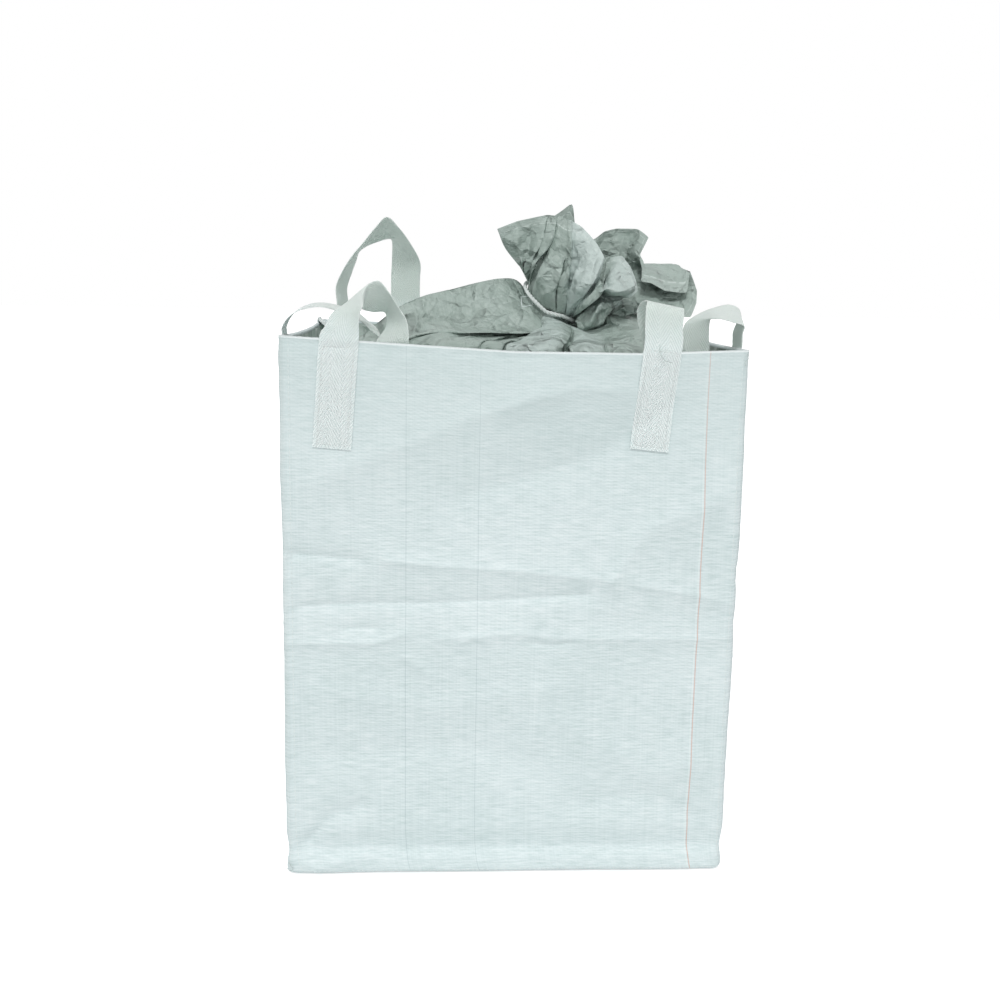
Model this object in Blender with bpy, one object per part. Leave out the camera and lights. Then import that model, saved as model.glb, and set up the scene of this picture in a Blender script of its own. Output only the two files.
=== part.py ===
"""Bulk bag: a square woven-polypropylene sack with four corner lifting loops and a tied filling skirt.

Metres, +Z up. The origin is on the floor under the middle of the bag, +X is to the right of the front panel
and +Y points from the front panel to the back panel.
"""

from math import cos, pi, radians, sin

import bmesh
import bpy
from mathutils import Matrix, Vector

# Driving dimensions of the sack
BAG_WIDTH = 0.900
BAG_DEPTH = 0.900
BAG_HEIGHT = 1.100
PANEL_FABRIC = 0.0012
HEM_DEPTH = 0.025
SEAM_ALLOWANCE = 0.030
SEAT_GAP = 0.0003

# Webbing of the lifting loops
WEBBING_WIDTH = 0.075
WEBBING_THICKNESS = 0.0024
LEG_LENGTH = 0.207
SIDE_LEG_INSET = 0.090
RISE_ABOVE_RIM = 0.021
BEND_LENGTH = 0.070
HINGE_RISE = 0.035
CUT_GAP = 0.0006

# Filling skirt, its tied neck and the ruffle above the tie
SKIRT_FABRIC = 0.0010
SKIRT_EDGE_DROP = 0.005
SKIRT_CORNER_RADIUS = 0.025
SKIRT_FOLDS = 13
POINTS_PER_FOLD = 6
SKIRT_FOLD_DEPTH = 0.012
NECK_CENTRE = Vector((0.100, -0.050, 0.065))
NECK_AXIS = Vector((0.549, -0.292, 0.780)).normalized()
NECK_RADIUS = 0.062
NECK_BELOW_TIE = 0.012
NECK_ABOVE_TIE = 0.008
NECK_WAIST = 0.003
RUFFLE_START = 0.040
RUFFLE_START_RADIUS = 0.074
RUFFLE_LOBES = 6
RUFFLE_LOBE_DEPTH = 0.26
RUFFLE_RINGS = 5
RUFFLE_FLARE = 1.3

# Tie cord and sewing thread
TIE_DIAMETER = 0.009
KNOT_RADIUS = 0.012
THREAD_DIAMETER = 0.0016
SEAM_INSET = 0.010
BOTTOM_SEAM_RISE = 0.006
RIM_SEAM_DROP = 0.0175

HALF_WEBBING = WEBBING_THICKNESS / 2
LEG_STAND_OFF = SEAT_GAP + HALF_WEBBING


# Scene helpers

def clear_scene():
    for old in list(bpy.data.objects):
        bpy.data.objects.remove(old)


def linear(hex_colour):
    """A colour written as sRGB hex, as the linear values that a shader takes."""
    channels = [int(hex_colour[i : i + 2], 16) / 255 for i in (1, 3, 5)]
    return [c / 12.92 if c <= 0.04045 else ((c + 0.055) / 1.055) ** 2.4 for c in channels] + [1.0]


def finish_material(name, hex_colour, roughness):
    made = bpy.data.materials.new(name)
    made.use_nodes = True
    shader = made.node_tree.nodes["Principled BSDF"]
    shader.inputs["Base Color"].default_value = linear(hex_colour)
    shader.inputs["Roughness"].default_value = roughness
    shader.inputs["Metallic"].default_value = 0.0
    return made


def add_piece(name, shape, finish, origin=(0, 0, 0), smooth=False):
    """A finished object from a bmesh in bag coordinates, with its own origin."""
    bmesh.ops.translate(shape, verts=shape.verts, vec=-Vector(origin))
    bmesh.ops.recalc_face_normals(shape, faces=shape.faces)
    mesh = bpy.data.meshes.new(name)
    shape.to_mesh(mesh)
    shape.free()
    if smooth:
        mesh.shade_smooth()
        mesh.set_sharp_from_angle(angle=radians(40))
    piece = bpy.data.objects.new(name, mesh)
    piece.location = origin
    mesh.materials.append(finish)
    bpy.context.scene.collection.objects.link(piece)
    return piece


def give_thickness(piece, thickness):
    """Thickens a sheet evenly to both sides, with its edges closed."""
    solid = piece.modifiers.new("fabric", "SOLIDIFY")
    solid.thickness = thickness
    solid.offset = 0.0
    solid.use_even_offset = True
    solid.use_rim = True
    return piece


def smooth_through(points, at):
    """The Catmull-Rom curve through the points, at a place counted in points from the first."""
    last = len(points) - 1
    span = min(int(at), last - 1)
    share = at - span
    before = points[span - 1] if span else points[0] * 2 - points[1]
    after = points[span + 2] if span + 2 <= last else points[last] * 2 - points[last - 1]
    start, end = points[span], points[span + 1]
    leave, arrive = (end - before) / 2, (after - start) / 2
    rest = end - start
    return start + share * (leave + share * (3 * rest - 2 * leave - arrive + share * (leave + arrive - 2 * rest)))


# Sack body

def side_panel(name, width, reach, turn, finish):
    """One wall with its hem turned in, mitred where it meets its neighbours.

    The wall is drawn as the front one, its outer face at the reach from the middle, then turned about Z.
    """
    hem_back = 2 * PANEL_FABRIC
    hem_foot = BAG_HEIGHT - HEM_DEPTH
    profile = [
        (0, 0),
        (PANEL_FABRIC, 0),
        (PANEL_FABRIC, hem_foot),
        (hem_back, hem_foot),
        (hem_back, BAG_HEIGHT),
        (0, BAG_HEIGHT),
    ]
    half = width / 2 - SEAT_GAP
    shape = bmesh.new()
    left = shape.faces.new([shape.verts.new((depth - half, depth - reach, z)) for depth, z in profile])
    right = bmesh.ops.extrude_face_region(shape, geom=[left])["geom"]
    for corner in right:
        if isinstance(corner, bmesh.types.BMVert):
            corner.co.x = -corner.co.x
    bmesh.ops.rotate(shape, verts=shape.verts, matrix=Matrix.Rotation(turn, 3, "Z"))
    return add_piece(name, shape, finish)


def bottom_panel(finish):
    """The floor of the sack, its edges turned up inside the walls as a seam allowance."""
    wide = BAG_WIDTH - 2 * (PANEL_FABRIC + SEAT_GAP)
    deep = BAG_DEPTH - 2 * (PANEL_FABRIC + SEAT_GAP)
    shape = bmesh.new()
    bmesh.ops.create_cube(shape, size=1)
    bmesh.ops.scale(shape, verts=shape.verts, vec=(wide, deep, SEAM_ALLOWANCE))
    bmesh.ops.translate(shape, verts=shape.verts, vec=(0, 0, SEAM_ALLOWANCE / 2))
    shape.normal_update()
    top = max(shape.faces, key=lambda face: face.calc_center_median().z)
    bmesh.ops.inset_region(shape, faces=[top], thickness=PANEL_FABRIC)
    sunk = bmesh.ops.extrude_face_region(shape, geom=[top])["geom"]
    floor = [corner for corner in sunk if isinstance(corner, bmesh.types.BMVert)]
    bmesh.ops.translate(shape, verts=floor, vec=(0, 0, PANEL_FABRIC - SEAM_ALLOWANCE))
    if top.is_valid:
        bmesh.ops.delete(shape, geom=[top], context="FACES_ONLY")
    return add_piece("bottom_panel", shape, finish)


# Webbing straps

FINE_STEP = 0.02  # share of the way from one station of a strap to the next
BEND_CUTS = 6
ARCH_CUTS_PER_STATION = 4


class Strap:
    """One length of webbing, sewn to two walls at a corner and free between them.

    Its route is a list of stations from the leg on the front or back wall to the leg on the side wall. A station
    is a point and the direction across the webbing there, both counted from the corner: inward along the front or
    back wall, inward along the side wall, and up from the rim.
    """

    def __init__(self, corner, end_leg_at, end_leg_lean, side_leg_at, free_stations):
        self.across_sign, self.along_sign = corner
        stand_off = -LEG_STAND_OFF
        leg_heights = [-LEG_LENGTH, -LEG_LENGTH / 2, 0, RISE_ABOVE_RIM]
        slope = end_leg_lean / LEG_LENGTH
        route = [((end_leg_at + slope * up, stand_off, up), (1, 0, 0)) for up in leg_heights]
        route += free_stations
        route += [((stand_off, side_leg_at, up), (0, 1, 0)) for up in reversed(leg_heights)]
        self.points = [self.in_bag(Vector(point)) for point, _ in route]
        self.across = [self.turned(Vector(across)).normalized() for _, across in route]
        self.first_rim = leg_heights.index(0)
        self.last_rim = len(route) - 1 - self.first_rim

    def turned(self, inward):
        return Vector((-self.across_sign * inward.x, -self.along_sign * inward.y, inward.z))

    def in_bag(self, from_corner):
        corner = Vector((self.across_sign * BAG_WIDTH / 2, self.along_sign * BAG_DEPTH / 2, BAG_HEIGHT))
        return corner + self.turned(from_corner)

    def section(self, at):
        """The two edges of the webbing at a place along the route."""
        middle = smooth_through(self.points, at)
        ahead = smooth_through(self.points, at + FINE_STEP) - smooth_through(self.points, at - FINE_STEP)
        across = smooth_through(self.across, at)
        across = (across - across.project(ahead)).normalized() * (WEBBING_WIDTH / 2)
        return middle - across, middle + across

    def place_after(self, start, distance):
        """The place reached by going a distance along the webbing, back if it is negative."""
        step = FINE_STEP if distance > 0 else -FINE_STEP
        at, left = start, abs(distance)
        while left > 0:
            gone = (smooth_through(self.points, at + step) - smooth_through(self.points, at)).length
            if gone > left:
                return at + step * left / gone
            left -= gone
            at += step
        return at

    def length_between(self, start, end):
        steps = round((end - start) / FINE_STEP)
        places = [smooth_through(self.points, start + (end - start) * i / steps) for i in range(steps + 1)]
        return sum((b - a).length for a, b in zip(places, places[1:]))

    def piece(self, name, start, end, cuts, finish, origin=(0, 0, 0)):
        """The webbing between two places on its route, as a solid."""
        shape = bmesh.new()
        edge = shape.edges.new([shape.verts.new(corner) for corner in self.section(start)])
        for cut in range(1, cuts + 1):
            near, far = self.section(start + (end - start) * cut / cuts)
            grown = bmesh.ops.extrude_edge_only(shape, edges=[edge])["geom"]
            edge = next(item for item in grown if isinstance(item, bmesh.types.BMEdge))
            corners = [item for item in grown if isinstance(item, bmesh.types.BMVert)]
            corners[0].co, corners[1].co = near, far
        return give_thickness(add_piece(name, shape, finish, origin), WEBBING_THICKNESS)


def lifting_loop(name, end_wall, strap, finish):
    """The sewn legs, the two bends above the rim and the free arch of one loop."""
    side = "left" if strap.across_sign < 0 else "right"
    end_bend = strap.place_after(strap.first_rim, BEND_LENGTH)
    side_bend = strap.place_after(strap.last_rim, -BEND_LENGTH)
    after_end_bend = strap.place_after(end_bend, CUT_GAP)
    before_side_bend = strap.place_after(side_bend, -CUT_GAP)
    above_rim = strap.place_after(strap.first_rim, CUT_GAP)
    above_side_rim = strap.place_after(strap.last_rim, -CUT_GAP)
    strap.piece(f"{name}_{end_wall}_leg", 0.0, strap.first_rim, 2, finish)
    strap.piece(f"{name}_{end_wall}_bend", above_rim, end_bend, BEND_CUTS, finish)
    swing = [strap.points[rim] + Vector((0, 0, HINGE_RISE)) for rim in (strap.first_rim, strap.last_rim)]
    arch_cuts = ARCH_CUTS_PER_STATION * round(before_side_bend - after_end_bend)
    strap.piece(f"{name}_arch", after_end_bend, before_side_bend, arch_cuts, finish, sum(swing, Vector()) / 2)
    strap.piece(f"{name}_{side}_bend", side_bend, above_side_rim, BEND_CUTS, finish)
    strap.piece(f"{name}_{side}_leg", strap.last_rim, len(strap.points) - 1, 2, finish)
    free = strap.length_between(strap.first_rim, strap.last_rim)
    print(name, "free webbing", round(free, 3), "m; swings on", [tuple(round(c, 4) for c in p) for p in swing])


# Front left loop: up from the front wall, folded over to the right and down inside the rim, then back up and over
# the left wall.
FRONT_LEFT_ROUTE = [
    ((0.121, 0.024, 0.056), (0.88, -0.44, 0.02)),
    ((0.145, 0.042, 0.080), (0.52, -0.72, 0.30)),
    ((0.170, 0.054, 0.087), (0.16, -0.52, 0.82)),
    ((0.198, 0.058, 0.082), (-0.12, -0.10, 0.99)),
    ((0.226, 0.048, 0.062), (-0.51, -0.45, 0.72)),
    ((0.228, 0.032, 0.032), (-0.88, -0.25, 0.40)),
    ((0.216, 0.030, 0.002), (-0.97, 0.00, 0.20)),
    ((0.206, 0.044, -0.026), (-1.00, 0.00, 0.00)),
    ((0.198, 0.072, -0.034), (-0.85, 0.30, -0.40)),
    ((0.182, 0.090, -0.018), (-0.50, 0.55, -0.65)),
    ((0.162, 0.094, 0.016), (-0.15, 0.90, -0.35)),
    ((0.128, 0.092, 0.046), (0.00, 1.00, 0.00)),
    ((0.085, 0.090, 0.062), (0.00, 1.00, 0.00)),
    ((0.046, 0.090, 0.061), (0.00, 1.00, 0.00)),
    ((0.014, 0.090, 0.045), (0.00, 1.00, 0.00)),
]

# Front right loop: up from the front wall, doubled back down inside it, then up again and over the right wall.
FRONT_RIGHT_ROUTE = [
    ((0.167, 0.004, 0.058), (0.99, 0.00, 0.12)),
    ((0.168, 0.024, 0.074), (0.98, 0.00, 0.18)),
    ((0.172, 0.042, 0.058), (0.98, 0.00, 0.18)),
    ((0.175, 0.046, 0.014), (1.00, 0.00, 0.10)),
    ((0.172, 0.046, -0.045), (1.00, 0.00, 0.00)),
    ((0.160, 0.050, -0.090), (1.00, 0.00, 0.00)),
    ((0.142, 0.070, -0.106), (1.00, 0.00, 0.00)),
    ((0.130, 0.086, -0.080), (0.98, 0.00, 0.15)),
    ((0.118, 0.088, -0.020), (0.96, 0.00, 0.28)),
    ((0.100, 0.087, 0.030), (0.80, 0.30, 0.50)),
    ((0.070, 0.087, 0.057), (0.30, 0.75, 0.58)),
    ((0.036, 0.088, 0.064), (0.00, 0.88, 0.47)),
    ((0.010, 0.089, 0.050), (0.00, 0.97, 0.20)),
]

# Back left loop: standing, its crown folded towards the front.
BACK_LEFT_ROUTE = [
    ((0.2165, 0.004, 0.075), (1.00, 0.00, 0.00)),
    ((0.2165, 0.014, 0.130), (1.00, 0.04, -0.04)),
    ((0.217, 0.026, 0.172), (0.92, 0.28, -0.26)),
    ((0.212, 0.042, 0.206), (0.72, 0.58, -0.38)),
    ((0.197, 0.062, 0.231), (0.34, 0.81, -0.48)),
    ((0.172, 0.076, 0.236), (0.00, 0.76, -0.65)),
    ((0.145, 0.085, 0.222), (-0.15, 0.80, -0.58)),
    ((0.118, 0.090, 0.198), (-0.10, 0.95, -0.30)),
    ((0.094, 0.092, 0.168), (0.00, 1.00, 0.00)),
    ((0.074, 0.092, 0.130), (-0.15, 0.98, 0.00)),
    ((0.058, 0.090, 0.086), (-0.28, 0.96, 0.00)),
    ((0.036, 0.090, 0.050), (-0.18, 0.98, 0.00)),
    ((0.010, 0.090, 0.032), (-0.06, 1.00, 0.00)),
]

# Back right loop: fallen inward, on edge, behind the ruffle.
BACK_RIGHT_ROUTE = [
    ((0.163, 0.012, 0.052), (1.00, 0.00, -0.12)),
    ((0.174, 0.048, 0.072), (0.88, 0.00, -0.42)),
    ((0.192, 0.100, 0.078), (0.64, 0.00, -0.77)),
    ((0.206, 0.160, 0.076), (0.28, 0.10, -0.95)),
    ((0.196, 0.214, 0.072), (0.00, 0.00, -1.00)),
    ((0.156, 0.246, 0.070), (0.00, 0.00, -1.00)),
    ((0.108, 0.234, 0.072), (0.00, 0.20, -0.98)),
    ((0.068, 0.194, 0.076), (0.00, 0.50, -0.87)),
    ((0.032, 0.144, 0.072), (0.00, 0.80, -0.55)),
    ((0.006, 0.104, 0.050), (0.00, 0.96, -0.20)),
]

# Each loop's name, wall, corner, where its leg crosses the rim from the corner and how far the leg leans inward.
LIFTING_LOOPS = [
    ("front_left_loop", "front", (-1, -1), 0.111, 0.015, FRONT_LEFT_ROUTE),
    ("front_right_loop", "front", (1, -1), 0.165, -0.019, FRONT_RIGHT_ROUTE),
    ("back_left_loop", "back", (-1, 1), 0.2165, 0.0, BACK_LEFT_ROUTE),
    ("back_right_loop", "back", (1, 1), 0.160, 0.0, BACK_RIGHT_ROUTE),
]


# Filling skirt

def even_shares(count):
    return [number / count for number in range(count)]


def square_ring(share, half_wide, half_deep, radius):
    """A point on a rounded rectangle, a share of the way round from the middle of the front, rightwards."""
    quarter = pi * radius / 2
    wide, deep = half_wide - radius, half_deep - radius
    runs = [wide, quarter, 2 * deep, quarter, 2 * wide, quarter, 2 * deep, quarter, wide]
    left = (share % 1) * sum(runs)
    centres = [(wide, -deep), (wide, deep), (-wide, deep), (-wide, -deep)]
    for number, run in enumerate(runs):
        if left <= run or number == len(runs) - 1:
            break
        left -= run
    side, on_corner = divmod(number, 2)
    if on_corner:
        turn = -pi / 2 + side * pi / 2 + left / radius
        return Vector((centres[side][0] + radius * cos(turn), centres[side][1] + radius * sin(turn)))
    starts = [(0, -half_deep), (half_wide, -deep), (wide, half_deep), (-half_wide, deep), (-wide, -half_deep)]
    ways = [(1, 0), (0, 1), (-1, 0), (0, -1), (1, 0)]
    return Vector(starts[side]) + left * Vector(ways[side])


def inset_ring(points, distance):
    """A level ring moved inward so that each of its straight runs stays parallel to the old one."""
    moved = []
    for number, point in enumerate(points):
        before, after = points[number - 1], points[(number + 1) % len(points)]
        came, goes = (point - before).normalized(), (after - point).normalized()
        first, second = Vector((-came.y, came.x, 0)), Vector((-goes.y, goes.x, 0))
        moved.append(point + (first + second) * distance / (1 + first.dot(second)))
    return moved


def skirt_rim(shares):
    """Points of the skirt's sewn edge, against the inside of the hem."""
    inset = 2 * PANEL_FABRIC + SEAT_GAP + SKIRT_FABRIC / 2
    half_wide, half_deep = BAG_WIDTH / 2 - inset, BAG_DEPTH / 2 - inset
    return [square_ring(share, half_wide, half_deep, SKIRT_CORNER_RADIUS).to_3d() for share in shares]


def round_the_mouth(front, right, back, left, share):
    """A value given for the four sides, carried smoothly round the mouth."""
    values = [front, right, back, left]
    at = (share % 1) * 4
    side = int(at) % 4
    ease = (1 - cos(pi * (at - int(at)))) / 2
    return values[side] * (1 - ease) + values[(side + 1) % 4] * ease


def neck_point(share, radius, along):
    """A point round the tied neck, at a radius from its axis and a distance along it from the tie."""
    outward = Vector((0, -1, 0))
    front = (outward - outward.project(NECK_AXIS)).normalized()
    right = NECK_AXIS.cross(front)
    centre = NECK_CENTRE + Vector((0, 0, BAG_HEIGHT))
    turn = 2 * pi * share
    return centre + NECK_AXIS * along + (front * cos(turn) + right * sin(turn)) * radius


# Height of the skirt above the rim on the front, right, back and left, at shares of the way in to the neck.
SKIRT_HEIGHTS = [
    (0.03, (-0.070, -0.050, -0.030, -0.030)),
    (0.10, (-0.150, -0.110, -0.060, -0.060)),
    (0.28, (-0.140, -0.105, -0.045, -0.030)),
    (0.52, (-0.075, -0.062, 0.010, 0.060)),
    (0.80, (0.000, 0.002, 0.070, 0.106)),
]


def lofted_tube(name, rings, finish, thickness, origin=(0, 0, 0)):
    """A sheet through closed rings of points, thickened."""
    shape = bmesh.new()
    loops = []
    for ring in rings:
        corners = [shape.verts.new(point) for point in ring]
        loops.append([shape.edges.new(pair) for pair in zip(corners, corners[1:] + corners[:1])])
    for below, above in zip(loops, loops[1:]):
        bmesh.ops.bridge_loops(shape, edges=below + above)
    return give_thickness(add_piece(name, shape, finish, origin, smooth=True), thickness)


def filling_skirt(finish):
    shares = even_shares(SKIRT_FOLDS * POINTS_PER_FOLD)
    rim = skirt_rim(shares)
    sewn_band = [BAG_HEIGHT - SKIRT_EDGE_DROP, BAG_HEIGHT - HEM_DEPTH]
    rings = [[point + Vector((0, 0, z)) for point in rim] for z in sewn_band]
    neck = [neck_point(share, NECK_RADIUS, -NECK_BELOW_TIE) for share in shares]
    for inward, heights in SKIRT_HEIGHTS:
        ring = []
        for share, edge, end in zip(shares, rim, neck):
            fold = SKIRT_FOLD_DEPTH * 4 * inward * (1 - inward) * cos(2 * pi * SKIRT_FOLDS * share)
            point = edge.lerp(end, inward)
            point.z = BAG_HEIGHT + round_the_mouth(*heights, share) + fold
            ring.append(point)
        rings.append(ring)
    rings.append(neck)
    rings.append([neck_point(share, NECK_RADIUS, NECK_ABOVE_TIE) for share in shares])
    lofted_tube("skirt", rings, finish, SKIRT_FABRIC)


# Free edge of the ruffle: radius from the neck axis and distance along it, at eight places round the neck from
# the front, rightwards.
RUFFLE_EDGE = [
    (0.105, 0.195),
    (0.165, 0.205),
    (0.225, 0.165),
    (0.165, 0.210),
    (0.115, 0.225),
    (0.120, 0.185),
    (0.165, 0.070),
    (0.125, 0.150),
]


def ruffle_and_neck(finish, neck_finish):
    shares = even_shares(RUFFLE_LOBES * 2 * POINTS_PER_FOLD)
    start = NECK_ABOVE_TIE + CUT_GAP
    stop = RUFFLE_START - CUT_GAP
    waist = (NECK_RADIUS + RUFFLE_START_RADIUS) / 2 - NECK_WAIST
    neck_rings = [
        [neck_point(share, NECK_RADIUS, start) for share in shares],
        [neck_point(share, waist, (start + stop) / 2) for share in shares],
        [neck_point(share, RUFFLE_START_RADIUS, stop) for share in shares],
    ]
    lofted_tube("skirt_neck", neck_rings, neck_finish, SKIRT_FABRIC)
    edge = [Vector(pair) for pair in RUFFLE_EDGE]
    wrapped = edge[-1:] + edge + edge[:2]
    rings = []
    for step in range(RUFFLE_RINGS + 1):
        rise = step / RUFFLE_RINGS
        ring = []
        for share in shares:
            tip = smooth_through(wrapped, 1 + share * len(edge))
            radius = RUFFLE_START_RADIUS + (tip.x - RUFFLE_START_RADIUS) * rise
            along = RUFFLE_START + (tip.y - RUFFLE_START) * rise ** RUFFLE_FLARE
            wave = 1 - RUFFLE_LOBE_DEPTH * rise * cos(2 * pi * RUFFLE_LOBES * share)
            ring.append(neck_point(share, radius * wave, along))
        rings.append(ring)
    pivot = NECK_CENTRE + Vector((0, 0, BAG_HEIGHT))
    lofted_tube("skirt_ruffle", rings, finish, SKIRT_FABRIC, pivot)


# Tie cord and threads

def tube(name, points, diameter, finish, closed=False, sides=2):
    """A round cord along points, with closed ends or joined into a ring."""
    curve = bpy.data.curves.new(name, "CURVE")
    curve.dimensions = "3D"
    curve.bevel_depth = diameter / 2
    curve.bevel_resolution = sides
    curve.use_fill_caps = not closed
    spline = curve.splines.new("POLY")
    spline.points.add(len(points) - 1)
    for spot, point in zip(spline.points, points):
        spot.co = (*point, 1)
    spline.use_cyclic_u = closed
    cord = bpy.data.objects.new(name, curve)
    curve.materials.append(finish)
    bpy.context.scene.collection.objects.link(cord)
    return cord


def neck_tie(finish):
    """One turn of cord round the neck, its ends meeting in a knot at the back."""
    radius = NECK_RADIUS + SKIRT_FABRIC / 2 + SEAT_GAP + TIE_DIAMETER / 2
    knot_share = 0.5
    knot_reach = (KNOT_RADIUS + SEAT_GAP) / (2 * pi * radius)
    steps = 40
    first = knot_share + knot_reach
    span = 1 - 2 * knot_reach
    route = [neck_point(first + span * step / steps, radius, 0.0) for step in range(steps + 1)]
    tube("tie_cord", route, TIE_DIAMETER, finish)
    shape = bmesh.new()
    bmesh.ops.create_uvsphere(shape, u_segments=16, v_segments=10, radius=KNOT_RADIUS)
    lift = KNOT_RADIUS - TIE_DIAMETER / 2
    bmesh.ops.translate(shape, verts=shape.verts, vec=neck_point(knot_share, radius + lift, 0.0))
    add_piece("tie_knot", shape, finish, smooth=True)


def seam_threads(finish):
    lie = THREAD_DIAMETER / 2 + SEAT_GAP
    for row, y in (("front", -BAG_DEPTH / 2 - lie), ("back", BAG_DEPTH / 2 + lie)):
        for side, x in (("left", SEAM_INSET - BAG_WIDTH / 2), ("right", BAG_WIDTH / 2 - SEAM_INSET)):
            ends = [Vector((x, y, SEAM_INSET)), Vector((x, y, BAG_HEIGHT - SKIRT_EDGE_DROP))]
            tube(f"{row}_{side}_seam_thread", ends, THREAD_DIAMETER, finish, sides=1)
    wide, deep = BAG_WIDTH / 2 + lie, BAG_DEPTH / 2 + lie
    foot = [Vector((x, y, BOTTOM_SEAM_RISE)) for x, y in ((-wide, -deep), (wide, -deep), (wide, deep), (-wide, deep))]
    tube("bottom_seam_thread", foot, THREAD_DIAMETER, finish, True, 1)
    rim = inset_ring(skirt_rim(even_shares(SKIRT_FOLDS * POINTS_PER_FOLD)), SKIRT_FABRIC / 2 + lie)
    high = Vector((0, 0, BAG_HEIGHT - RIM_SEAM_DROP))
    tube("rim_seam_thread", [p + high for p in rim], THREAD_DIAMETER, finish, True, 1)


def build():
    clear_scene()
    panel = finish_material("coated woven polypropylene", "#D3E0DF", 0.55)
    webbing = finish_material("polypropylene webbing", "#D5DCD9", 0.8)
    skirt = finish_material("thin coated polypropylene", "#AAB6AF", 0.5)
    cord = finish_material("polypropylene tie cord", "#DDE2E0", 0.7)
    thread = finish_material("sewing thread", "#E2E8E6", 0.8)
    side_panel("front_panel", BAG_WIDTH, BAG_DEPTH / 2, 0, panel)
    side_panel("right_panel", BAG_DEPTH, BAG_WIDTH / 2, pi / 2, panel)
    side_panel("back_panel", BAG_WIDTH, BAG_DEPTH / 2, pi, panel)
    side_panel("left_panel", BAG_DEPTH, BAG_WIDTH / 2, -pi / 2, panel)
    bottom_panel(panel)
    for name, wall, corner, leg_at, leg_lean, stations in LIFTING_LOOPS:
        lifting_loop(name, wall, Strap(corner, leg_at, leg_lean, SIDE_LEG_INSET, stations), webbing)
    filling_skirt(skirt)
    ruffle_and_neck(skirt, skirt)
    neck_tie(cord)
    seam_threads(thread)


build()
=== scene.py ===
# %% [markdown]
# # A tied bulk bag
# This lesson dresses a bulk bag: a square sack of woven polypropylene with four webbing loops to lift it
# by and a thin filling skirt, gathered and tied over its mouth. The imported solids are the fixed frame.
# They say where every piece is, and each cloth here is laid over its own solid and then hides it.

# %% Loading the frame
from bisect import bisect
from math import cos, exp, pi, radians, sin

import bmesh
import bpy
from mathutils import Matrix, Vector, noise
from mathutils.bvhtree import BVHTree


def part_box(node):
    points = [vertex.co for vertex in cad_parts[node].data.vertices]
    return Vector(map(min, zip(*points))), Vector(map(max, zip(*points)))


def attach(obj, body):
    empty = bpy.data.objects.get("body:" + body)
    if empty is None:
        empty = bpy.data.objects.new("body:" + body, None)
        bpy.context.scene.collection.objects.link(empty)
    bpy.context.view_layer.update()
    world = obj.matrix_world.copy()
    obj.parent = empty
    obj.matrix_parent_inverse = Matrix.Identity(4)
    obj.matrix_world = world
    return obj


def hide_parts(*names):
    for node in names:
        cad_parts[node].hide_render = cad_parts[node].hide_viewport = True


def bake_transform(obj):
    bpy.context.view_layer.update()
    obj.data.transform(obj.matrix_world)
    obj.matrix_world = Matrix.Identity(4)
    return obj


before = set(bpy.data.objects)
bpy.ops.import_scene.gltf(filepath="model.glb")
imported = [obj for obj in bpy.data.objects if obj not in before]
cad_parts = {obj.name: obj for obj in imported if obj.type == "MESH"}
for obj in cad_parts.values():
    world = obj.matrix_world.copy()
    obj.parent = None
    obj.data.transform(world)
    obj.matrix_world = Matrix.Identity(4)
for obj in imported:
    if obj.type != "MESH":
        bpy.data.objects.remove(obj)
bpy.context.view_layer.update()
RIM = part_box("front_panel")[1].z
HALF_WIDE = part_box("front_panel")[1].x
HALF_DEEP = -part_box("front_panel")[0].y
print("sack", round(2 * HALF_WIDE, 3), "x", round(2 * HALF_DEEP, 3), "x", round(RIM, 3), "m")

# %% [markdown]
# The camera comes first, because every later choice is judged through it. The photographer stood a little
# left of the middle, with the lens just above the rim and tipped down, so the front wall narrows towards
# the floor.

# %% Camera
CAMERA_PLACE = Vector((-0.159, -2.762, 1.243))
CAMERA_YAW = radians(3.28)
CAMERA_PITCH = radians(11.0)
CAMERA_ROLL = radians(-1.0)
SENSOR_MM = 36
FOCAL_MM = 43.2

lens = bpy.data.cameras.new("photo camera")
lens.sensor_width = SENSOR_MM
lens.lens = FOCAL_MM
camera = bpy.data.objects.new("photo camera", lens)
turn = Matrix.Rotation(-CAMERA_YAW, 4, "Z") @ Matrix.Rotation(pi / 2 - CAMERA_PITCH, 4, "X")
camera.matrix_world = Matrix.Translation(CAMERA_PLACE) @ turn @ Matrix.Rotation(-CAMERA_ROLL, 4, "Z")
bpy.context.scene.collection.objects.link(camera)
bpy.context.scene.camera = camera
print("camera", tuple(round(c, 3) for c in camera.location))

# %% [markdown]
# Folds of cloth and webbing have no drawing to work from, only the picture. So their places are given as
# the pixel where they show and a judged depth. Through the camera that makes a point in space, which
# keeps the outline right even where the depth is a guess.

# %% Reading a place off the picture
PICTURE_PIXELS = 1000
FOCAL_PIXELS = PICTURE_PIXELS * lens.lens / lens.sensor_width


def seen(across, down, depth):
    """The point that the camera sees at a pixel, where its line of sight comes to a depth y."""
    middle = PICTURE_PIXELS / 2
    ray = camera.matrix_world.to_3x3() @ Vector((across - middle, middle - down, -FOCAL_PIXELS))
    return CAMERA_PLACE + ray * ((depth - CAMERA_PLACE.y) / ray.y)


print("one pixel is", round(1000 * -CAMERA_PLACE.y / FOCAL_PIXELS, 1), "mm wide at the middle of the bag")

# %% [markdown]
# Colours are written as they look on a screen, in sRGB hex. Shaders work in linear light, so one function
# turns them over. Another adds a node with its settings and its links, and a few short ones build on it
# for the sums and mixes that every material here needs.

# %% Colours and nodes
def linear(hex_colour):
    channels = [int(hex_colour[i : i + 2], 16) / 255 for i in (1, 3, 5)]
    return [c / 12.92 if c <= 0.04045 else ((c + 0.055) / 1.055) ** 2.4 for c in channels] + [1.0]


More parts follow.
